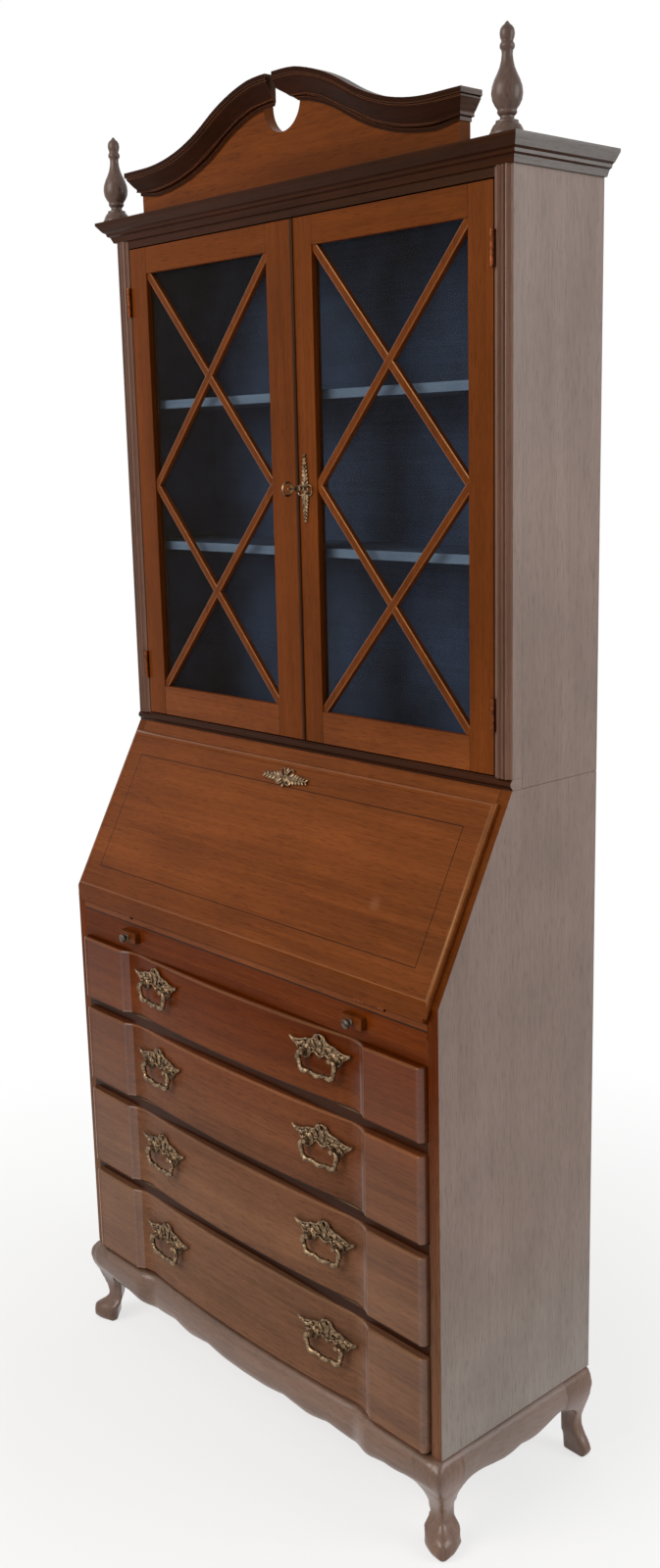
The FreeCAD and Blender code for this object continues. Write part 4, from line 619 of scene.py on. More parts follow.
class BUREAU_OT_carcass(BureauStep, bpy.types.Operator):
    """Boards of both cases, with softened edges and grain that follows each board"""
    bl_idname = "bureau.carcass"
    bl_label = "Carcass boards"

    def execute(self, context):
        edge = context.scene.bureau_sizes.board_edge
        softened("bureau_sides", edge, "side_z", ("inner_z", to_middle), ("drawer_z", to_front),
                 ("door_z", beside_fall))
        softened("bookcase_sides", edge, "side_z", ("paint", to_middle), ("moulding_z", to_front))
        thin = edge * 0.2
        over_drawers = front_between(740 * MM, 800 * MM)
        # Rail fronts between the drawers take the dark moulding finish: partly dark wood, partly painted
        # shade in the gaps
        softened("drawer_rails", thin, "inner_x", ("moulding_x", to_front), ("drawer_x", over_drawers))
        softened("runners_and_guides", thin, "inner_y", ("drawer_x", to_front))
        softened("shelves", edge, "paint", ("shelf", to_front))
        softened("corner_pilasters", edge * 0.4, "reed_z", ("side_z", flat_to_side), carve=self.reeds)
        softened("bookcase_rails", edge, "moulding_x", ("side_y", to_side))
        # The front edge takes the fall's lighter tone as painted highlight
        softened("bureau_top", edge, "moulding_x", ("fall_x", to_front))
        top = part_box("writing_board")[1].z
        # A 3 mm band under the 9 mm nosing takes the dark moulding finish: painted shadow under the fall's
        # lip
        line, foot = top - 9 * MM, top - 12 * MM
        softened("writing_board", thin, "door_x", ("drawer_x", to_front),
                 ("fall_x", front_between(line, top)), ("moulding_x", front_between(foot, line)),
                 parted=(line, foot))
        softened("bookcase_top", edge, "moulding_x")
        softened("loper_left", edge, "door_y")
        softened("loper_right", edge, "door_y")
        softened("bookcase_back", thin, "inner_z", ("paint", to_front))
        dress("bureau_back", "inner_z")
        dress("bureau_bottom", "inner_x")
        dress("bookcase_bottom", "paint")
        dress("pigeonholes", "inner_z")
        return {"FINISHED"}

    def reeds(self, bm):
        """Part the round of each corner pilaster into three reeds."""
        count, cuts, valley, hair = 3, 24, 0.15, 0.1 * MM
        rounds = [v.co for v in bm.verts if v.co.y < BOOKCASE_FRONT - hair]
        deep = BOOKCASE_FRONT - min(co.y for co in rounds)
        first = min(abs(co.x) for co in rounds) - 3 * hair
        wide = max(abs(co.x) for co in rounds) + 3 * hair - first
        for step in range(1, cuts):
            for side in (-1, 1):
                cut_round(bm, (side * (first + wide * step / cuts), 0, 0), (1, 0, 0))
        for vert in bm.verts:
            if vert.co.y < BOOKCASE_FRONT - hair:
                swell = abs(math.sin(count * math.pi * (abs(vert.co.x) - first) / wide))
                vert.co.y = BOOKCASE_FRONT - deep * (valley + (1 - valley) * swell)


def add_loft(bm, rings, sides=20, squareness=0.75):
    """A rail of pillow-shaped sections: middle, outward direction, half a depth and half a height of each."""
    loops = []
    for middle, outward, depth, height in rings:
        ends = len(loops) in (0, len(rings) - 1)
        verts = bmesh.ops.create_circle(bm, segments=sides, radius=1, cap_ends=ends)["verts"]
        for vert in verts:
            out, up = (math.copysign(abs(value) ** squareness, value) for value in vert.co.xy)
            vert.co = Vector(middle) + Vector(outward) * (out * depth) + Vector((0, 0, up * height))
        loops.append(edges_of(verts))
    for first, second in zip(loops, loops[1:]):
        bmesh.ops.bridge_loops(bm, edges=first + second)


class BUREAU_OT_base(BureauStep, bpy.types.Operator):
    """One flowing base: cabriole legs, a serpentine front apron and scalloped side aprons"""
    bl_idname = "bureau.base"
    bl_label = "Base"
    # Lower edges of the aprons in mm: height by distance from the middle, and by place from front to back
    front_foot = ((0, 87), (55, 88), (92, 93), (100, 95), (108, 92), (150, 86), (185, 91), (196, 94),
                  (206, 91), (245, 86), (285, 88), (310, 93), (320, 96), (330, 95), (352, 96), (370, 100),
                  (430, 104))
    side_foot = ((-150, 104), (-100, 98), (-72, 98), (-45, 93), (-18, 89), (8, 92), (18, 95), (27, 92),
                 (48, 90.5), (68, 95), (82, 99), (100, 104), (150, 106))
    # The aprons are lofts of sections at even steps from one end to the other
    ring_step = 12 * MM
    front_end, front_rings, front_half_depth = 420 * MM, 71, 20 * MM
    side_end, side_rings, side_half_depth = 140 * MM, 25, 13.5 * MM
    side_middle = 424.5 * MM
    # In mm: the front apron swells like the drawers, and its end blocks stand as far out as its middle
    flat_face, swell_depth, swell_end = 158.5, 11, 262
    bend_start, bend_end = 246, 292
    # The middle of a front foot, along the corner's diagonal and across it, and how far its toe reaches
    foot_out, foot_across = 394.6 * MM, 196.6 * MM
    heel, toe = 5.6 * MM, 36 * MM
    ankle_top, foot_inside, foot_back = 95 * MM, 375 * MM, -100 * MM
    # Which part of the base has which finish, and where the aprons meet the legs
    leg, front, beside = range(3)
    leg_inside, side_apron_reach, apron_low = 385 * MM, 115 * MM, 80 * MM

    def execute(self, context):
        bm = solid_of("legs")
        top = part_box("legs")[1].z
        self.add_back_rail(bm)
        add_loft(bm, [self.front_ring(self.ring_step * i - self.front_end, top)
                      for i in range(self.front_rings)])
        for side in (-1, 1):
            add_loft(bm, [self.side_ring(side, self.ring_step * i - self.side_end, top)
                          for i in range(self.side_rings)])
        bmesh.ops.recalc_face_normals(bm, faces=bm.faces)
        base = settle(bm, "base_carved", ["base_z", "base_x", "apron_y"],
                      ["legs", "front_apron", "base_rails"])
        base.modifiers.clear()
        carve = base.modifiers.new("carve", "REMESH")
        carve.mode = "VOXEL"
        carve.voxel_size = context.scene.bureau_sizes.leg_grain
        carve.use_smooth_shade = True
        rub = base.modifiers.new("rub", "SMOOTH")
        rub.factor = 0.5
        rub.iterations = 12
        self.finish_carving(base)
        return {"FINISHED"}

    def add_back_rail(self, bm):
        """Take over the CAD rail at the back; the side rails are left out, since the side aprons are new."""
        rails = solid_of("base_rails")
        side_rails = [v for v in rails.verts if abs(v.co.x) > 400 * MM]
        bmesh.ops.delete(rails, geom=side_rails, context="VERTS")
        spare = bpy.data.meshes.new("back_rail")
        rails.to_mesh(spare)
        rails.free()
        bm.from_mesh(spare)
        bpy.data.meshes.remove(spare)

    def front_ring(self, x, top):
        """A section of the front apron: it follows the drawers and bends softly at the end blocks."""
        out = abs(x) / MM
        bend = share(out, self.bend_start, self.bend_end)
        bend = bend * bend * (3 - 2 * bend)
        swell = self.swell_depth * max(0, 1 - (out / self.swell_end) ** 2)
        face = -(self.flat_face + max(swell * (1 - bend), self.swell_depth * bend)) * MM
        foot = between(self.front_foot, out) * MM
        depth = self.front_half_depth
        return (x, face + depth, (top + foot) / 2), (0, -1, 0), depth, (top - foot) / 2

    def side_ring(self, side, y, top):
        """A section of a side apron."""
        foot = between(self.side_foot, y / MM) * MM
        middle = (side * self.side_middle, y, (top + foot) / 2)
        return middle, (side, 0, 0), self.side_half_depth, (top - foot) / 2

    def finish_carving(self, base):
        """Keep the carved shape as a plain mesh, shape its front feet and part its finishes."""
        shape = base.evaluated_get(bpy.context.evaluated_depsgraph_get())
        carved = bpy.data.meshes.new_from_object(shape)
        base.modifiers.clear()
        rough = base.data
        base.data = carved
        bpy.data.meshes.remove(rough)
        bm = bmesh.new()
        bm.from_mesh(carved)
        for side in (-1, 1):
            for vert in bm.verts:
                x, y, z = vert.co
                if x * side > self.foot_inside and y < self.foot_back and z < self.ankle_top:
                    self.shape_foot(vert, side)
        for face in bm.faces:
            x, y, z = face.calc_center_median()
            face.material_index = self.leg
            if z > self.apron_low and abs(x) < self.leg_inside and y < self.foot_back:
                face.material_index = self.front
            if z > self.apron_low and abs(x) > self.leg_inside and abs(y) < self.side_apron_reach:
                face.material_index = self.beside
        bm.to_mesh(carved)
        bm.free()

    def shape_foot(self, vert, side):
        """Move a point of a front foot: a low ankle, a round pad, a blunt toe that reaches the corner."""
        outward = Vector((side, -1, 0)).normalized()
        across = Vector((side, 1, 0)).normalized()
        height = vert.co.z
        wide = vert.co.dot(across) - self.foot_across
        out = vert.co.dot(outward) - self.foot_out
        slim = 1 - 0.12 * share(height, 50 * MM, 20 * MM)
        new_wide = wide * slim * (1 + 0.16 * hump(height, 32 * MM, 14 * MM))
        new_out = (out * slim + self.heel) * (1 + 0.45 * share(height, self.ankle_top, 65 * MM))
        blunt = share(height, 45 * MM, 25 * MM) * share(out, 0, 10 * MM)
        new_out = min(new_out + 0.35 * abs(new_wide) * blunt, self.toe) - self.heel
        vert.co += across * (new_wide - wide) + outward * (new_out - out)
        vert.co.z -= 7 * MM * hump(height, 54 * MM, 26 * MM)


class BUREAU_OT_drawers(BureauStep, bpy.types.Operator):
    """Serpentine drawer fronts with rounded, beaded edges, and their boxes"""
    bl_idname = "bureau.drawers"
    bl_label = "Drawers"
    # Places across a front, from its middle outwards
    flank, cad_cove, block = 200 * MM, 272 * MM, 295 * MM
    end_start, field_end, corner = 390 * MM, 396 * MM, 407 * MM
    corner_front = -163.5 * MM
    # Where the cove and the block finish are looked for, and which part of a front has which finish
    cove_from, cove_to, block_from = 240 * MM, 300 * MM, 290 * MM
    field_part, upper_edge, cove_part, block_part, lower_edge = range(5)

    def execute(self, context):
        sizes = context.scene.bureau_sizes
        for number in DRAWERS:
            node = "drawer_%d_front" % number
            bm = solid_of(node)
            self.widen_coves(bm, sizes.cove_width)
            round_edges(bm, [edge for edge in bm.edges if self.at_end(edge)], sizes.drawer_end, 6)
            rim = [edge for edge in sharp_edges(bm) if self.on_rim(edge)]
            # Upper rims take the rubbed finish, partly wear and partly painted highlight; lower rims take the
            # dark moulding finish as painted shade below each drawer
            for face in round_edges(bm, rim, sizes.drawer_edge, 4):
                face.material_index = self.upper_edge if face.normal.z > 0 else self.lower_edge
            field = [face for face in bm.faces if abs(face.normal.z) < 0.05 and face.normal.y < -0.3
                     and abs(face.calc_center_median().x) < self.field_end]
            bmesh.ops.inset_region(bm, faces=field, thickness=sizes.drawer_bead, depth=-sizes.bead_depth,
                                   use_boundary=True, use_even_offset=True)
            for face in bm.faces:
                self.part_finish(face)
            settle(bm, node + "_polished", ["drawer_x", "edge_x", "cove_x", "block_x", "moulding_x"], [node])
            dress("drawer_%d_box" % number, "inner_y")
        return {"FINISHED"}

    def widen_coves(self, bm, cove_width):
        """Let the coves beside the end blocks begin further in, so that they run out gently."""
        stretch = (self.block - cove_width - self.flank) / (self.cad_cove - self.flank)
        for vert in bm.verts:
            out = abs(vert.co.x)
            if self.flank < out < self.block:
                place = self.flank + (out - self.flank) * stretch
                if out > self.cad_cove:
                    place = self.block - (self.block - out) * cove_width / (self.block - self.cad_cove)
                vert.co.x = math.copysign(place, vert.co.x)

    def at_end(self, edge):
        """An upright edge at the front of either end."""
        first, second = (vert.co for vert in edge.verts)
        tall = abs(first.z - second.z) > 50 * MM
        return tall and all(abs(co.x) > self.corner and co.y < self.corner_front for co in (first, second))

    def on_rim(self, edge):
        """An edge between the top or bottom and the front or an end."""
        flat = any(abs(face.normal.z) > 0.9 for face in edge.link_faces)
        return flat and any(abs(face.normal.z) < 0.1 and face.normal.y < 0.5 for face in edge.link_faces)

    def part_finish(self, face):
        """Give the coves and rounded ends the cove finish, and the end blocks theirs."""
        middle = face.calc_center_median()
        away = abs(middle.x)
        outward = face.normal.x * math.copysign(1, middle.x)
        end = away > self.end_start and outward > 0.2 and abs(face.normal.z) < 0.8
        cove = self.cove_from < away < self.cove_to and outward < -0.3
        if end or cove:
            face.material_index = self.cove_part
        elif away > self.block_from and to_front(face) and face.material_index == self.field_part:
            face.material_index = self.block_part


class BUREAU_OT_fall(BureauStep, bpy.types.Operator):
    """The fall with its thumbnail lip, crossband and stringing"""
    bl_idname = "bureau.fall"
    bl_label = "Fall"
    # Which part of the fall has which finish
    field, stringing, lip, foot_edge = range(4)

    def execute(self, context):
        sizes = context.scene.bureau_sizes
        bm = solid_of("fall_front")
        # The outside is the largest face that looks forward and up, before and after its edges are rounded.
        outside = max(bm.faces, key=lambda f: f.calc_area() * (f.normal.y < -0.4 and f.normal.z > 0.1))
        facing = outside.normal.copy()
        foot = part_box("fall_front")[0].z + 12 * MM
        for face in round_edges(bm, list(outside.edges), sizes.fall_edge, 5):
            face.material_index = self.lip if face.calc_center_median().z > foot else self.field
        outside = max(bm.faces, key=lambda f: f.calc_area() * (f.normal.dot(facing) > 0.99))
        for thickness, depth in ((sizes.fall_step, 0), (sizes.drawer_bead, -sizes.bead_depth),
                                 (sizes.band_width, 0), (sizes.line_width, 0)):
            ring = bmesh.ops.inset_region(bm, faces=[outside], thickness=thickness, depth=depth,
                                          use_even_offset=True)["faces"]
        for face in ring:
            face.material_index = self.stringing
        # Lip faces that look straight forward take the darker door tone: painted shade, so that they don't
        # show lighter under the front lamp
        for face in bm.faces:
            if face.normal.y < -0.7 and face.normal.z < 0.3:
                face.material_index = self.foot_edge
        settle(bm, "fall_front_polished", ["fall_x", "moulding_x", "lip_x", "door_x"], ["fall_front"])
        dress("fall_hinge_leaves", "hinge")
        dress("fall_lock", "brass")
        return {"FINISHED"}


class BUREAU_OT_doors(BureauStep, bpy.types.Operator):
    """Door frames with rounded glazing bars, panes, hinges and the lock"""
    bl_idname = "bureau.doors"
    bl_label = "Doors"
    # Which part of a door has which finish; the glazing bars lie on the stiles' finish
    stile, rail, bead, foot_rail, chamfer = range(5)
    chamfer_width, bar_sink = 2.2 * MM, 0.4 * MM

    def execute(self, context):
        sizes = context.scene.bureau_sizes
        for word, side in SIDES:
            self.frame_of(word, side, sizes)
            dress("door_%s_glass" % word, "glass")
            dress("door_%s_hinge_leaves" % word, "hinge")
        dress("door_lock", "brass")
        dress("hinge_case_leaves", "hinge")
        return {"FINISHED"}

    def frame_of(self, word, side, sizes):
        """Stiles, rails and two stacked lattices of one door."""
        node = "door_%s_frame" % word
        low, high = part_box(node)
        pane_low, pane_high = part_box("door_%s_glass" % word)
        outer = side * (high.x if side > 0 else low.x)
        far = outer - sizes.stile_width
        near = sizes.meeting_width
        meeting = low.x if side > 0 else high.x
        sight_low, sight_high = low.z + sizes.bottom_rail, high.z - sizes.top_rail
        rebate = near - min(abs(pane_low.x), abs(pane_high.x))
        glass_front = pane_low.y
        bm = bmesh.new()

        def member(x_pair, z_pair, inner_x, inner_z, material):
            """A frame member: full width in front of the glass, narrower beside it."""
            x0, x1 = sorted(x_pair)
            add_board(bm, (x0, low.y, z_pair[0]), (x1, glass_front, z_pair[1]), sizes.board_edge, material)
            back_x = sorted((x_pair[0] + inner_x[0] * rebate, x_pair[1] + inner_x[1] * rebate))
            add_board(bm, (back_x[0], glass_front, z_pair[0] + inner_z[0] * rebate),
                      (back_x[1], high.y, z_pair[1] + inner_z[1] * rebate), sizes.board_edge / 3, material)

        member((side * far, side * outer), (low.z, high.z), (side, 0), (0, 0), self.stile)
        member((meeting, side * near), (low.z, high.z), (0, -side), (0, 0), self.stile)
        member((side * near, side * far), (sight_high, high.z), (-side, side), (1, 0), self.rail)
        # The bottom rail takes the fall's lighter tone: painted light on the bottom rail
        member((side * near, side * far), (low.z, sight_low), (-side, side), (0, -1), self.foot_rail)
        middle_x = side * (near + far) / 2
        crossing = (sight_high - sight_low) / 4
        angle = math.atan2(2 * crossing, far - near)
        reach = math.hypot(2 * crossing, far - near) + rebate
        # The second bar of a crossing lies a hair lower, so that their fronts don't flicker.
        for middle_z in (sight_low + crossing, sight_high - crossing):
            for lean, depth in ((angle, sizes.bar_depth), (-angle, sizes.bar_depth - self.bar_sink)):
                middle = (middle_x, glass_front - depth / 2, middle_z)
                self.bar(bm, middle, lean, (reach, depth, sizes.bar_width))
        if side > 0:
            self.astragal(bm, (meeting, low.y, low.z), high.z)
        settle(bm, node + "_polished", ["door_z", "door_x", "moulding_z", "fall_x", "lip_x"], [node])

    def bar(self, bm, middle, lean, spans):
        """A glazing bar with a flat, chamfered front."""
        place = Matrix.Translation(middle) @ Matrix.Rotation(-lean, 4, "Y") @ Matrix.Diagonal((*spans, 1))
        verts = bmesh.ops.create_cube(bm, size=1, matrix=place)["verts"]
        front = [edge for edge in edges_of(verts) if edge.calc_length() > spans[0] * 0.9
                 and all(vert.co.y < middle[1] - spans[1] * 0.4 for vert in edge.verts)]
        # The chamfers take the fall's lighter tone as painted highlight, with a real stronger shine
        for face in round_edges(bm, front, self.chamfer_width):
            face.material_index = self.chamfer

    def astragal(self, bm, foot, top):
        """The bead that covers the gap between the doors."""
        wide, proud, sunk = 6 * MM, 2.5 * MM, 1 * MM
        x, y, z = foot
        add_board(bm, (x, y - proud, z), (x + wide, y + sunk, top), self.chamfer_width, self.bead)


class BUREAU_OT_mouldings(BureauStep, bpy.types.Operator):
    """Cornice, pediment board and its scroll mouldings"""
    bl_idname = "bureau.mouldings"
    bl_label = "Mouldings"
    # The cornice in mm as (height, reach beyond the case) pairs, from its foot up
    cornice = in_mm(((1889, 4), (1890.5, 4.5), (1897.5, 7.5), (1899.5, 11.5), (1903.5, 12.5), (1906, 16.5),
                     (1917, 25), (1921, 25)))
    # How far the pediment mouldings stand out, and how far their cove does before and after it is filled
    reach = 20 * MM
    filled_cove = in_mm(((0, 0), (2, 2), (4.2, 6), (4.8, 9.4), (6.1, 11.8), (8, 13.9), (10.5, 15.8),
                         (14.4, 17.6), (20, 20)))
    # Where the upright inner ends of both mouldings stand, and how far down the right one is cut off
    left_stop, right_stop = -11 * MM, 3 * MM
    undercut = 21 * MM
    # Which part of the pediment mouldings has which finish, and how far out their ends are looked for
    rubbed, outer_end, inner_end = 1, 2, 3
    outer_from, inner_to = 300 * MM, 12 * MM

    def execute(self, context):
        edge = context.scene.bureau_sizes.board_edge
        softened("cornice", edge * 0.7, "moulding_x", ("end_y", to_side), carve=self.slope,
                 parted=[height for height, _ in self.cornice[1:-1]])
        softened("pediment_board", edge, "door_x")
        bm = solid_of("pediment_mouldings")
        self.fill_cove(bm)
        self.deepen(bm)
        inner = min(abs(v.co.x) for v in bm.verts) + 4 * MM
        for side, stop in ((-1, self.left_stop), (1, self.right_stop)):
            end = [v for v in bm.verts if 0 < v.co.x * side < inner]
            crest = max(v.co.z for v in end)
            upright = Matrix.Translation((stop, 0, 0)) @ Matrix.Diagonal((0, 1, 1, 1))
            bmesh.ops.transform(bm, matrix=upright, verts=end)
        right = [part for part in (*bm.verts, *bm.edges, *bm.faces) if self.on_right(part)]
        cut = bmesh.ops.bisect_plane(bm, geom=right, plane_co=(self.right_stop, 0, crest - self.undercut),
                                     plane_no=(0.5, 0, 0.87), clear_inner=True)["geom_cut"]
        bmesh.ops.edgeloop_fill(bm, edges=only(bmesh.types.BMEdge, cut))
        # The rounded edges take the rubbed finish: partly wear, partly painted highlight
        for face in round_edges(bm, sharp_edges(bm), edge * 0.5):
            face.material_index = self.rubbed
        for face in bm.faces:
            away = abs(face.calc_center_median().x)
            if to_side(face) and away > self.outer_from:
                face.material_index = self.outer_end
            elif to_side(face) and away < self.inner_to:
                face.material_index = self.inner_end
        settle(bm, "pediment_mouldings_polished", ["crest_x", "edge_x", "turned_y", "moulding_y"],
               ["pediment_mouldings"])
        return {"FINISHED"}

    def slope(self, bm):
        """Give the cornice a tall sloping face over two thin steps."""
        hair = 0.1 * MM
        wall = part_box("bookcase_sides")[1].x
        for vert in bm.verts:
            out = between(self.cornice, vert.co.z)
            if abs(vert.co.x) > wall + hair:
                vert.co.x = math.copysign(wall + out, vert.co.x)
            if vert.co.y < BOOKCASE_FRONT - hair:
                vert.co.y = BOOKCASE_FRONT - out

    def fill_cove(self, bm):
        """Fill the cove of the pediment mouldings to a slope, in front and at their outer ends."""
        wall = max(v.co.x for v in bm.verts) - self.reach
        face = min(v.co.y for v in bm.verts) + self.reach
        for vert in bm.verts:
            out = abs(vert.co.x) - wall
            if out > 0:
                vert.co.x = math.copysign(wall + between(self.filled_cove, out), vert.co.x)
            if vert.co.y < face:
                vert.co.y = face - between(self.filled_cove, face - vert.co.y)

    def deepen(self, bm):
        """Let the lower members hang a little lower and the inner ends dip towards the slot."""
        board_face, hang, dip = -11 * MM, 6 * MM, 4 * MM
        for vert in bm.verts:
            out = abs(vert.co.x)
            if vert.co.y < board_face:
                lower = share(vert.co.y, -30 * MM, -12 * MM)
                vert.co.z -= hang * lower * share(out, 340 * MM, 310 * MM)
            vert.co.z -= dip * hump(out, 0, 50 * MM)

    def on_right(self, part):
        """Whether a vertex, edge or face belongs to the right half of the pediment."""
        first = part if isinstance(part, bmesh.types.BMVert) else part.verts[0]
        return first.co.x > 0


class BUREAU_OT_turnings(BureauStep, bpy.types.Operator):
    """Turned finials and loper knobs"""
    bl_idname = "bureau.turnings"
    bl_label = "Finials and knobs"

    def execute(self, context):
        steps = context.scene.bureau_sizes.turning_steps
        low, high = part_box("finials")
        foot = 22 * MM
        bm = bmesh.new()
        for side in (-1, 1):
            place = Matrix.Translation((side * (high.x - foot), (low.y + high.y) / 2, low.z))
            add_turning(bm, self.finial(high.z - low.z), place, steps)
        settle(bm, "finials_turned", ["turned_z"], ["finials"])
        for word, _ in SIDES:
            node = "loper_knob_" + word
            low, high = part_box(node)
            place = Matrix.Translation(((low.x + high.x) / 2, high.y, (low.z + high.z) / 2)) @ FORWARD
            bm = bmesh.new()
            add_turning(bm, self.knob(high.y - low.y, (high.x - low.x) / 2), place, steps)
            settle(bm, node + "_turned", ["knob"], [node])
        return {"FINISHED"}

    def finial(self, tall):
        """Half outline of a finial: stepped dome, ring, low belly, long neck, collar and pointed bud."""
        shape = ((0, 0), (22, 0), (22, 2.5), (20.5, 4), (20, 6.5), (17.5, 11), (14.5, 14), (14.2, 16.5),
                 (10, 17.5), (8.8, 19.5), (9, 22), (11, 24), (12.2, 25.5), (12.4, 27.3), (11.8, 29),
                 (12.4, 30.5), (15.5, 34.5), (18.4, 40.5), (19.6, 48), (18.8, 56), (16, 64), (12.6, 71),
                 (9.6, 78), (7.6, 86), (6.8, 93), (7.2, 97.5), (8.9, 99.5), (9.4, 102), (9, 104.5),
                 (7.6, 106.5), (7.4, 108.5), (8.8, 112), (9.4, 116.5), (8.6, 121.5), (6.2, 125), (3.6, 127),
                 (2.4, 129), (0, 131))
        scale = tall / shape[-1][1]
        return [(radius * scale, height * scale) for radius, height in shape]

    def knob(self, long, wide):
        """Half outline of a loper knob: neck, ring and round head."""
        shape = ((0, 0), (0.55, 0), (0.60, 0.10), (0.42, 0.20), (0.38, 0.34), (0.62, 0.40), (0.66, 0.46),
                 (0.50, 0.52), (0.82, 0.58), (1.0, 0.70), (0.94, 0.84), (0.68, 0.95), (0.32, 0.99), (0, 1))
        return [(radius * wide, height * long) for radius, height in shape]


class BUREAU_OT_pulls(BureauStep, bpy.types.Operator):
    """Cast brass pulls: a pierced plate of scrolls and leaves, and a swinging bail"""
    bl_idname = "bureau.pulls"
    bl_label = "Pulls"
    # All in mm about the pivot, across and up: a post stands at each side, and the bail hangs from both
    post_out = 28
    post = ((0, 0), (9.5, 0), (9.5, 1.2), (8.2, 2.6), (6.0, 3.8), (5.0, 6.0), (4.5, 13.0), (3.2, 14.6),
            (0, 15))
    roof = ((4, 29.5), (8, 28), (11, 23.5), (15, 20), (21, 18.5), (28, 18), (35, 15.5), (42, 13), (49, 12),
            (56, 12.5), (62, 14.5))
    sill = ((61, 12.5), (54, 8), (47, 4), (42, -3), (37, -8.5), (30, -11), (23, -8), (18.5, -1), (12, 3),
            (6, 0), (0, -4))
    hook = ((24, 12), (18, 14.5), (12, 13.5), (9, 9.5), (11.5, 6), (15.5, 7))
    # Leaves beside the scrolls: across, up, size and lean
    leaves = ((56, 10.5, 3.4, 0.5), (50, 9.0, 4.0, 0.9), (44, 7.0, 4.4, 0.4), (38, 9.0, 4.6, -0.3),
              (33, 12.5, 4.0, 0.6), (22, 15.5, 3.6, -0.5), (14, 16.5, 3.4, 0.7), (20, 5.5, 3.2, 0.2),
              (39, -1.0, 3.4, 1.1), (8, 21.5, 3.0, 0.9), (36, -7.0, 2.6, 0.0))
    sheet = ((-40, 12), (-24, 16), (-10, 20), (0, 22), (10, 20), (24, 16), (40, 12), (38, 4), (22, 8), (8, 3),
             (0, -1), (-8, 3), (-22, 8), (-38, 4))
    # Half a bail from its post to the middle of its grip, and the thickness at each of these points
    half_bail = ((23.8, 0), (30, 0), (35.0, -1.5), (37.2, -6), (36.8, -11), (34.6, -15), (34.2, -19.5),
                 (32.4, -24), (27.5, -27.2), (22, -27.4), (16, -26.2), (10, -27.0), (5, -29), (0, -29.6))
    thickness = (2.3, 2.4, 3.2, 4.2, 4.6, 3.2, 3.0, 4.2, 4.8, 4.2, 2.6, 2.8, 3.6, 4.2)

    def execute(self, context):
        bails = [joint for joint in frame["joints"] if joint["name"].startswith("bail_")]
        for joint in bails:
            _, number, word, _ = joint["name"].split("_")
            bm = bmesh.new()
            add_moved(bm, self.seat(joint), self.bail)
            node = "drawer_%s_bail_%s" % (number, word)
            settle_new(bm, node + "_cast", ["brass"], node)
        for number in DRAWERS:
            bm = bmesh.new()
            for joint in bails:
                if joint["name"].startswith("bail_%d_" % number):
                    add_moved(bm, self.seat(joint), self.plate)
            node = "drawer_%d_pull_plates" % number
            settle_new(bm, node + "_cast", ["brass"], node)
        return {"FINISHED"}

    def seat(self, joint):
        """Where a pull goes: at the pivot of its bail, square to the drawer front there."""
        side = -1 if "_left_" in joint["name"] else 1
        axis = Vector(joint["axis"])
        tilt = side * math.atan2(abs(axis.y), abs(axis.x))
        return Matrix.Translation(joint["pos_m"]) @ Matrix.Rotation(tilt, 4, "Z")

    def plate(self, bm):
        """Scrollwork about the pivot line: the drawer front is 10.5 mm behind the pivot."""
        back = 10.4 * MM
        relief = back - 2.2 * MM
        for side in (-1, 1):
            post_x = side * self.post_out * MM
            add_turning(bm, in_mm(self.post), Matrix.Translation((post_x, back, 0)) @ FORWARD, 14)
            for line, thick, thin in ((self.roof, 2.4, 1.3), (self.sill, 1.2, 2.0), (self.hook, 2.2, 1.5)):
                path = [(side * x, relief, z) for x, z in in_mm(line)]
                add_tube(bm, path, taper(len(path), thick * MM, thin * MM))
            for x, z, size, lean in self.leaves:
                spans = (size * 1.15 * MM, 2.2 * MM, size * 0.62 * MM)
                add_bead(bm, (side * x * MM, relief, z * MM), spans, -side * lean)
            self.add_rosette(bm, post_x, back - 2.4 * MM)
        turns = [math.tau * i / 12 for i in range(13)]
        crest = in_mm((5.2 * math.sin(turn), 25.5 + 5.2 * math.cos(turn)) for turn in turns)
        add_tube(bm, [(x, relief, z) for x, z in crest], [1.7 * MM] * len(crest))
        for z, wide, tall in ((15, 5.2, 6.0), (6.5, 3.8, 4.6), (-3.5, 2.6, 3.6)):
            add_bead(bm, (0, relief, z * MM), (wide * MM, 2.8 * MM, tall * MM))
        face = bm.faces.new([bm.verts.new((x, back, z)) for x, z in in_mm(self.sheet)])
        grown = bmesh.ops.extrude_face_region(bm, geom=[face])["geom"]
        bmesh.ops.translate(bm, vec=(0, -1.2 * MM, 0), verts=only(bmesh.types.BMVert, grown))

    def add_rosette(self, bm, x, y):
        """A ring of six beads at the foot of a post."""
        for i in range(6):
            angle = math.tau * i / 6
            place = (x + math.cos(angle) * 7.4 * MM, y, math.sin(angle) * 7.4 * MM)
            add_bead(bm, place, (2.6 * MM, 1.5 * MM, 2.6 * MM))

    def bail(self, bm):
        """A hanging handle: turned-in ends, leafy arms, swollen corners and a beaded grip."""
        half = in_mm(self.half_bail)
        path = [(-x, 0, z) for x, z in half] + [(x, 0, z) for x, z in half[-2::-1]]
        add_tube(bm, path, [thick * MM for thick in self.thickness + self.thickness[-2::-1]], 10)
        for side in (-1, 1):
            add_bead(bm, (side * 34.4 * MM, 0, -17 * MM), (4.8 * MM, 4.0 * MM, 2.4 * MM))
            add_bead(bm, (side * 13 * MM, 0, -26.4 * MM), (1.8 * MM, 3.8 * MM, 3.8 * MM))
        add_bead(bm, (0, 0, -29.6 * MM), (2.4 * MM, 4.4 * MM, 4.6 * MM))


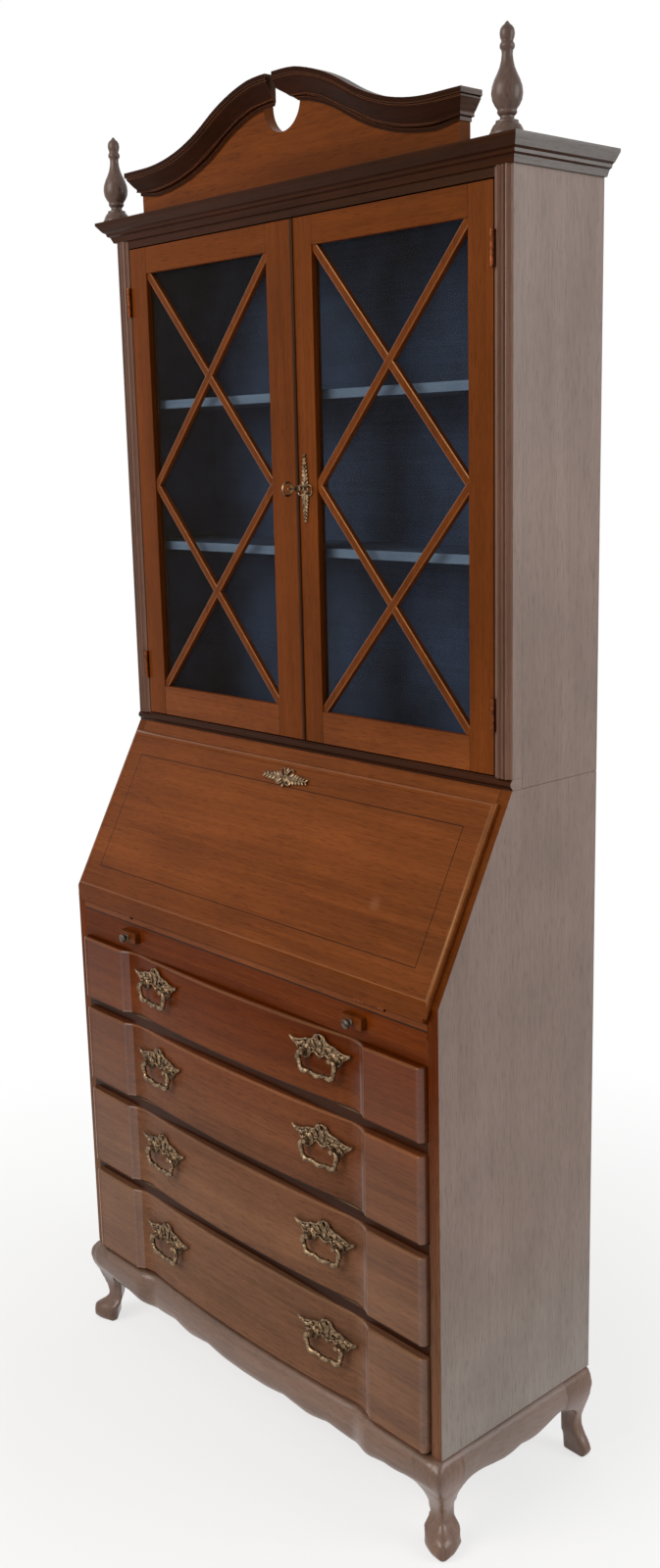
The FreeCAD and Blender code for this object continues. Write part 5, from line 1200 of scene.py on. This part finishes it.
class BUREAU_OT_escutcheons(BureauStep, bpy.types.Operator):
    """Pierced keyhole plates on the fall and the right door, and the key"""
    bl_idname = "bureau.escutcheons"
    bl_label = "Escutcheons and key"

    def execute(self, context):
        self.door_plate()
        self.fall_plate()
        self.key()
        return {"FINISHED"}

    def leafy_arm(self, bm, count, reach, start, size, relief):
        """A run of paired leaf lobes that gets smaller towards its tip, along +X."""
        for i in range(count):
            out = start + (reach - start) * (i + 0.5) / count
            lobe = size * (1 - 0.62 * i / count)
            for side in (-1, 1):
                spans = (lobe * 1.1, relief, lobe * 0.55)
                add_bead(bm, (out, -relief, side * lobe * 0.75), spans, -side * 0.7)
        tip = ((start, -relief, 0), ((start + reach) / 2, -relief * 1.3, 0),
               (reach - size * 0.4, -relief * 0.8, 0))
        add_tube(bm, tip, [size * 0.42, size * 0.34, size * 0.16])

    def boss(self, bm, relief, size):
        """The small round boss of a keyhole."""
        shape = ((0, 0), (size * 2.0, 0), (size * 1.9, relief * 0.6), (size * 1.3, relief * 1.2),
                 (0, relief * 1.2))
        add_turning(bm, shape, FORWARD, 16)

    def door_plate(self):
        """A tall plate: leaf runs up and down from a scrolled middle."""
        low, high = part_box("door_escutcheon")
        tall = high.z - low.z
        bm = bmesh.new()
        relief = 1.6 * MM
        self.boss(bm, relief, 3.0 * MM)
        for angle, part in ((-math.pi / 2, 0.57), (math.pi / 2, 0.51)):
            turn = Matrix.Rotation(angle, 4, "Y")
            add_moved(bm, turn, self.leafy_arm, 8, tall * part, 6 * MM, 4.8 * MM, relief)
        for side in (-1, 1):
            for way in (1, -1):
                start = (2 * MM, -relief, way * 5 * MM)
                add_scroll(bm, start, way * 0.5, 2.6 * MM, 8, way * -0.16, 1.22, 1.6 * MM, side)
        middle = ((low.x + high.x) / 2, high.y, low.z + tall * 0.47)
        bmesh.ops.translate(bm, vec=middle, verts=bm.verts)
        settle_new(bm, "door_escutcheon_cast", ["brass"], "door_escutcheon")

    def fall_plate(self):
        """A wide plate: leaf runs left and right from a crested middle, lying on the slant."""
        low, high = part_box("fall_escutcheon")
        wide = high.x - low.x
        bm = bmesh.new()
        relief = 1.5 * MM
        for angle in (0, math.pi):
            turn = Matrix.Rotation(angle, 4, "Y")
            add_moved(bm, turn, self.leafy_arm, 6, wide * 0.5, 8 * MM, 6.2 * MM, relief)
        for side in (-1, 1):
            add_scroll(bm, (2 * MM, -relief, 6 * MM), 1.2, 2.6 * MM, 8, -0.14, 1.25, 1.7 * MM, side)
            add_scroll(bm, (3 * MM, -relief, -6 * MM), -0.8, 2.8 * MM, 8, 0.20, 1.2, 1.7 * MM, side)
        add_bead(bm, (0, -relief, 13 * MM), (2.6 * MM, relief, 4.0 * MM))
        add_bead(bm, (0, -relief, -12 * MM), (2.6 * MM, relief, 3.6 * MM))
        self.boss(bm, relief, 3.4 * MM)
        # A thin near-black disc in front of the boss: painted shade of the keyhole
        hole = in_mm(((0, 0), (1.5, 0), (1.5, 0.3), (0, 0.3)))
        add_turning(bm, hole, Matrix.Translation((0, -relief * 1.25, 1.0 * MM)) @ FORWARD, 12, 1)
        lean = math.atan2(high.y - low.y, high.z - low.z)
        place = Matrix.Translation((low + high) / 2) @ Matrix.Rotation(-lean, 4, "X")
        bmesh.ops.transform(bm, matrix=place, verts=bm.verts)
        settle_new(bm, "fall_escutcheon_cast", ["brass", "hole"], "fall_escutcheon")

    def key(self):
        """A key with an arched, pierced bow and a ringed shank."""
        low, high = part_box("door_key")
        x, z = (low.x + high.x) / 2, (low.z + high.z) / 2
        bm = bmesh.new()
        shank = 2.8 * MM
        bow = 12 * MM
        tip = low.y + 12 * MM
        neck = high.y - tip - 2 * bow
        shape = ((0, 0), (1, 0), (1, 0.62), (1.5, 0.64), (1.6, 0.67), (1.1, 0.70), (1.1, 0.76), (1.7, 0.79),
                 (1.8, 0.83), (1.2, 0.87), (1.0, 1.0), (0, 1.0))
        profile = [(radius * shank, height * neck) for radius, height in shape]
        add_turning(bm, profile, Matrix.Translation((x, high.y, z)) @ FORWARD, 16)
        centre = Vector((x, tip + bow, z))
        count = 20
        long, wide = bow - shank, bow - shank * 0.8
        loop = []
        for i in range(count + 1):
            angle = math.tau * i / count + math.pi / 2
            loop.append(centre + Vector((0, math.sin(angle) * long, math.cos(angle) * wide)))
        add_tube(bm, loop, [shank * 0.6] * len(loop))
        stem = [centre + Vector((0, long * part, 0)) for part in (1.0, 0.5, 0.1)]
        add_tube(bm, stem, [shank * 0.55, shank * 0.4, shank * 0.5], 6)
        bmesh.ops.remove_doubles(bm, verts=bm.verts, dist=0.01 * MM)
        settle_new(bm, "door_key_cast", ["brass"], "door_key")


class BUREAU_OT_stage(BureauStep, bpy.types.Operator):
    """A white floor, soft daylight and the camera of the picture"""
    bl_idname = "bureau.stage"
    bl_label = "Stage"

    def execute(self, context):
        self.floor(context)
        self.world(context)
        self.lamps(context)
        self.camera(context)
        context.scene.view_settings.view_transform = "Standard"
        return {"FINISHED"}

    def seen_directly(self, tree):
        """1 for rays from the camera, a mirror or glass, so that these meet plain white."""
        rays = add(tree, "ShaderNodeLightPath").outputs
        seen = rays["Is Camera Ray"]
        for kind in ("Is Glossy Ray", "Is Transmission Ray"):
            seen = add(tree, "ShaderNodeMath", {"operation": "MAXIMUM"}, {0: seen, 1: rays[kind]})
        return seen

    def floor(self, context):
        """A white floor that keeps the shadow near the piece and fades to plain white."""
        bm = bmesh.new()
        bmesh.ops.create_circle(bm, cap_ends=True, segments=96, radius=6.0)
        mesh = bpy.data.meshes.new("floor")
        bm.to_mesh(mesh)
        bm.free()
        mesh.materials.append(new_material("white_paper_floor", self.paper))
        floor = bpy.data.objects.new("floor", mesh)
        context.scene.collection.objects.link(floor)

    def paper(self, tree, place):
        """Smooth white paper that shows a soft shadow near the piece and shines plain white further out."""
        away = add(tree, "ShaderNodeVectorMath", {"operation": "LENGTH"}, {0: place}).outputs["Value"]
        fade = add(tree, "ShaderNodeMapRange", {"From Min": 0.5, "From Max": 1.5, "To Min": 0.7},
                   {"Value": away})
        plain = add(tree, "ShaderNodeMath", {"operation": "MULTIPLY"}, {0: fade, 1: self.seen_directly(tree)})
        fibre = add(tree, "ShaderNodeTexNoise", {"Scale": 1 / (4 * MM)}, {"Vector": place})
        tone = add(tree, "ShaderNodeValToRGB",
                   {"stops": [(0.2, (0.90, 0.90, 0.90)), (0.8, (0.93, 0.93, 0.93))]}, {"Fac": fibre})
        paper = add(tree, "ShaderNodeBsdfDiffuse", None, {"Color": tone})
        white = add(tree, "ShaderNodeEmission", {"Color": (1, 1, 1, 1), "Strength": 1.0})
        return add(tree, "ShaderNodeMixShader", None, {0: plain, 1: paper, 2: white})

    def world(self, context):
        """Plain daylight from all round, white where the camera, glass or metal sees it."""
        world = bpy.data.worlds.new("soft_daylight")
        world.use_nodes = True
        tree = world.node_tree
        tree.nodes.clear()
        light = add(tree, "ShaderNodeBackground", {"Color": (1.0, 0.98, 0.95, 1), "Strength": 0.42})
        white = add(tree, "ShaderNodeBackground", {"Color": (1, 1, 1, 1), "Strength": 1.0})
        mixed = add(tree, "ShaderNodeMixShader", None, {0: self.seen_directly(tree), 1: light, 2: white})
        add(tree, "ShaderNodeOutputWorld", None, {"Surface": mixed})
        context.scene.world = world

    def lamps(self, context):
        """A large soft lamp at the front left and a weaker one at the right."""
        for name, place, aim, spans, power, tint in (
                ("window_front", (-0.7, -3.4, 3.0), (0, 0, 1.0), (2.4, 2.4), 95, (1.0, 0.96, 0.90)),
                ("window_right", (3.3, 1.4, 2.2), (0.4, 0, 1.1), (2.0, 2.4), 60, (0.94, 0.97, 1.0))):
            lamp = bpy.data.lights.new(name, "AREA")
            lamp.shape = "RECTANGLE"
            lamp.size, lamp.size_y = spans
            lamp.energy = power
            lamp.color = tint
            holder = bpy.data.objects.new(name, lamp)
            holder.location = place
            holder.rotation_euler = (Vector(aim) - Vector(place)).to_track_quat("-Z", "Y").to_euler()
            context.scene.collection.objects.link(holder)

    def camera(self, context):
        """The camera of the photo, in front on the right at eye height; its fit is in pixels of the photo."""
        wide_pixels, high_pixels = 673, 1600
        focal_pixels = 1532.28
        centre = (343.13, 783.08)
        lens = bpy.data.cameras.new("camera")
        lens.sensor_width = 36.0
        lens.lens = lens.sensor_width * focal_pixels / high_pixels
        lens.shift_x = (wide_pixels / 2 - centre[0]) / high_pixels
        lens.shift_y = (centre[1] - high_pixels / 2) / high_pixels
        right = Vector((0.673983, 0.738417, -0.022092))
        down = Vector((0.136843, -0.154177, -0.978521))
        ahead = Vector((-0.725963, 0.656483, -0.204960))
        holder = bpy.data.objects.new("camera", lens)
        turn = Matrix((right, -down, -ahead)).transposed().to_4x4()
        holder.matrix_world = Matrix.Translation((1.72836, -1.49577, 1.54340)) @ turn
        context.scene.collection.objects.link(holder)
        context.scene.camera = holder


STEPS = (BUREAU_OT_carcass, BUREAU_OT_base, BUREAU_OT_drawers, BUREAU_OT_fall, BUREAU_OT_doors,
         BUREAU_OT_mouldings, BUREAU_OT_turnings, BUREAU_OT_pulls, BUREAU_OT_escutcheons, BUREAU_OT_stage)


class BUREAU_PT_steps(bpy.types.Panel):
    """The steps that dress the bureau, in order"""
    bl_idname = "BUREAU_PT_steps"
    bl_label = "Bureau bookcase"
    bl_space_type = "VIEW_3D"
    bl_region_type = "UI"
    bl_category = "Bureau"

    def draw(self, context):
        for step in STEPS:
            self.layout.operator(step.bl_idname)
        for group in (context.scene.bureau_sizes, context.scene.bureau_colours):
            for name in group.bl_rna.properties.keys():
                if name not in ("rna_type", "name"):
                    self.layout.prop(group, name)


CLASSES = (BureauSizes, BureauColours) + STEPS + (BUREAU_PT_steps,)


def register():
    for each in CLASSES:
        bpy.utils.register_class(each)
    bpy.types.Scene.bureau_sizes = PointerProperty(type=BureauSizes)
    bpy.types.Scene.bureau_colours = PointerProperty(type=BureauColours)


def unregister():
    del bpy.types.Scene.bureau_colours
    del bpy.types.Scene.bureau_sizes
    for each in reversed(CLASSES):
        bpy.utils.unregister_class(each)


def main():
    register()
    for step in STEPS:
        group, name = step.bl_idname.split(".")
        getattr(getattr(bpy.ops, group), name)()


if __name__ == "__main__":
    main()
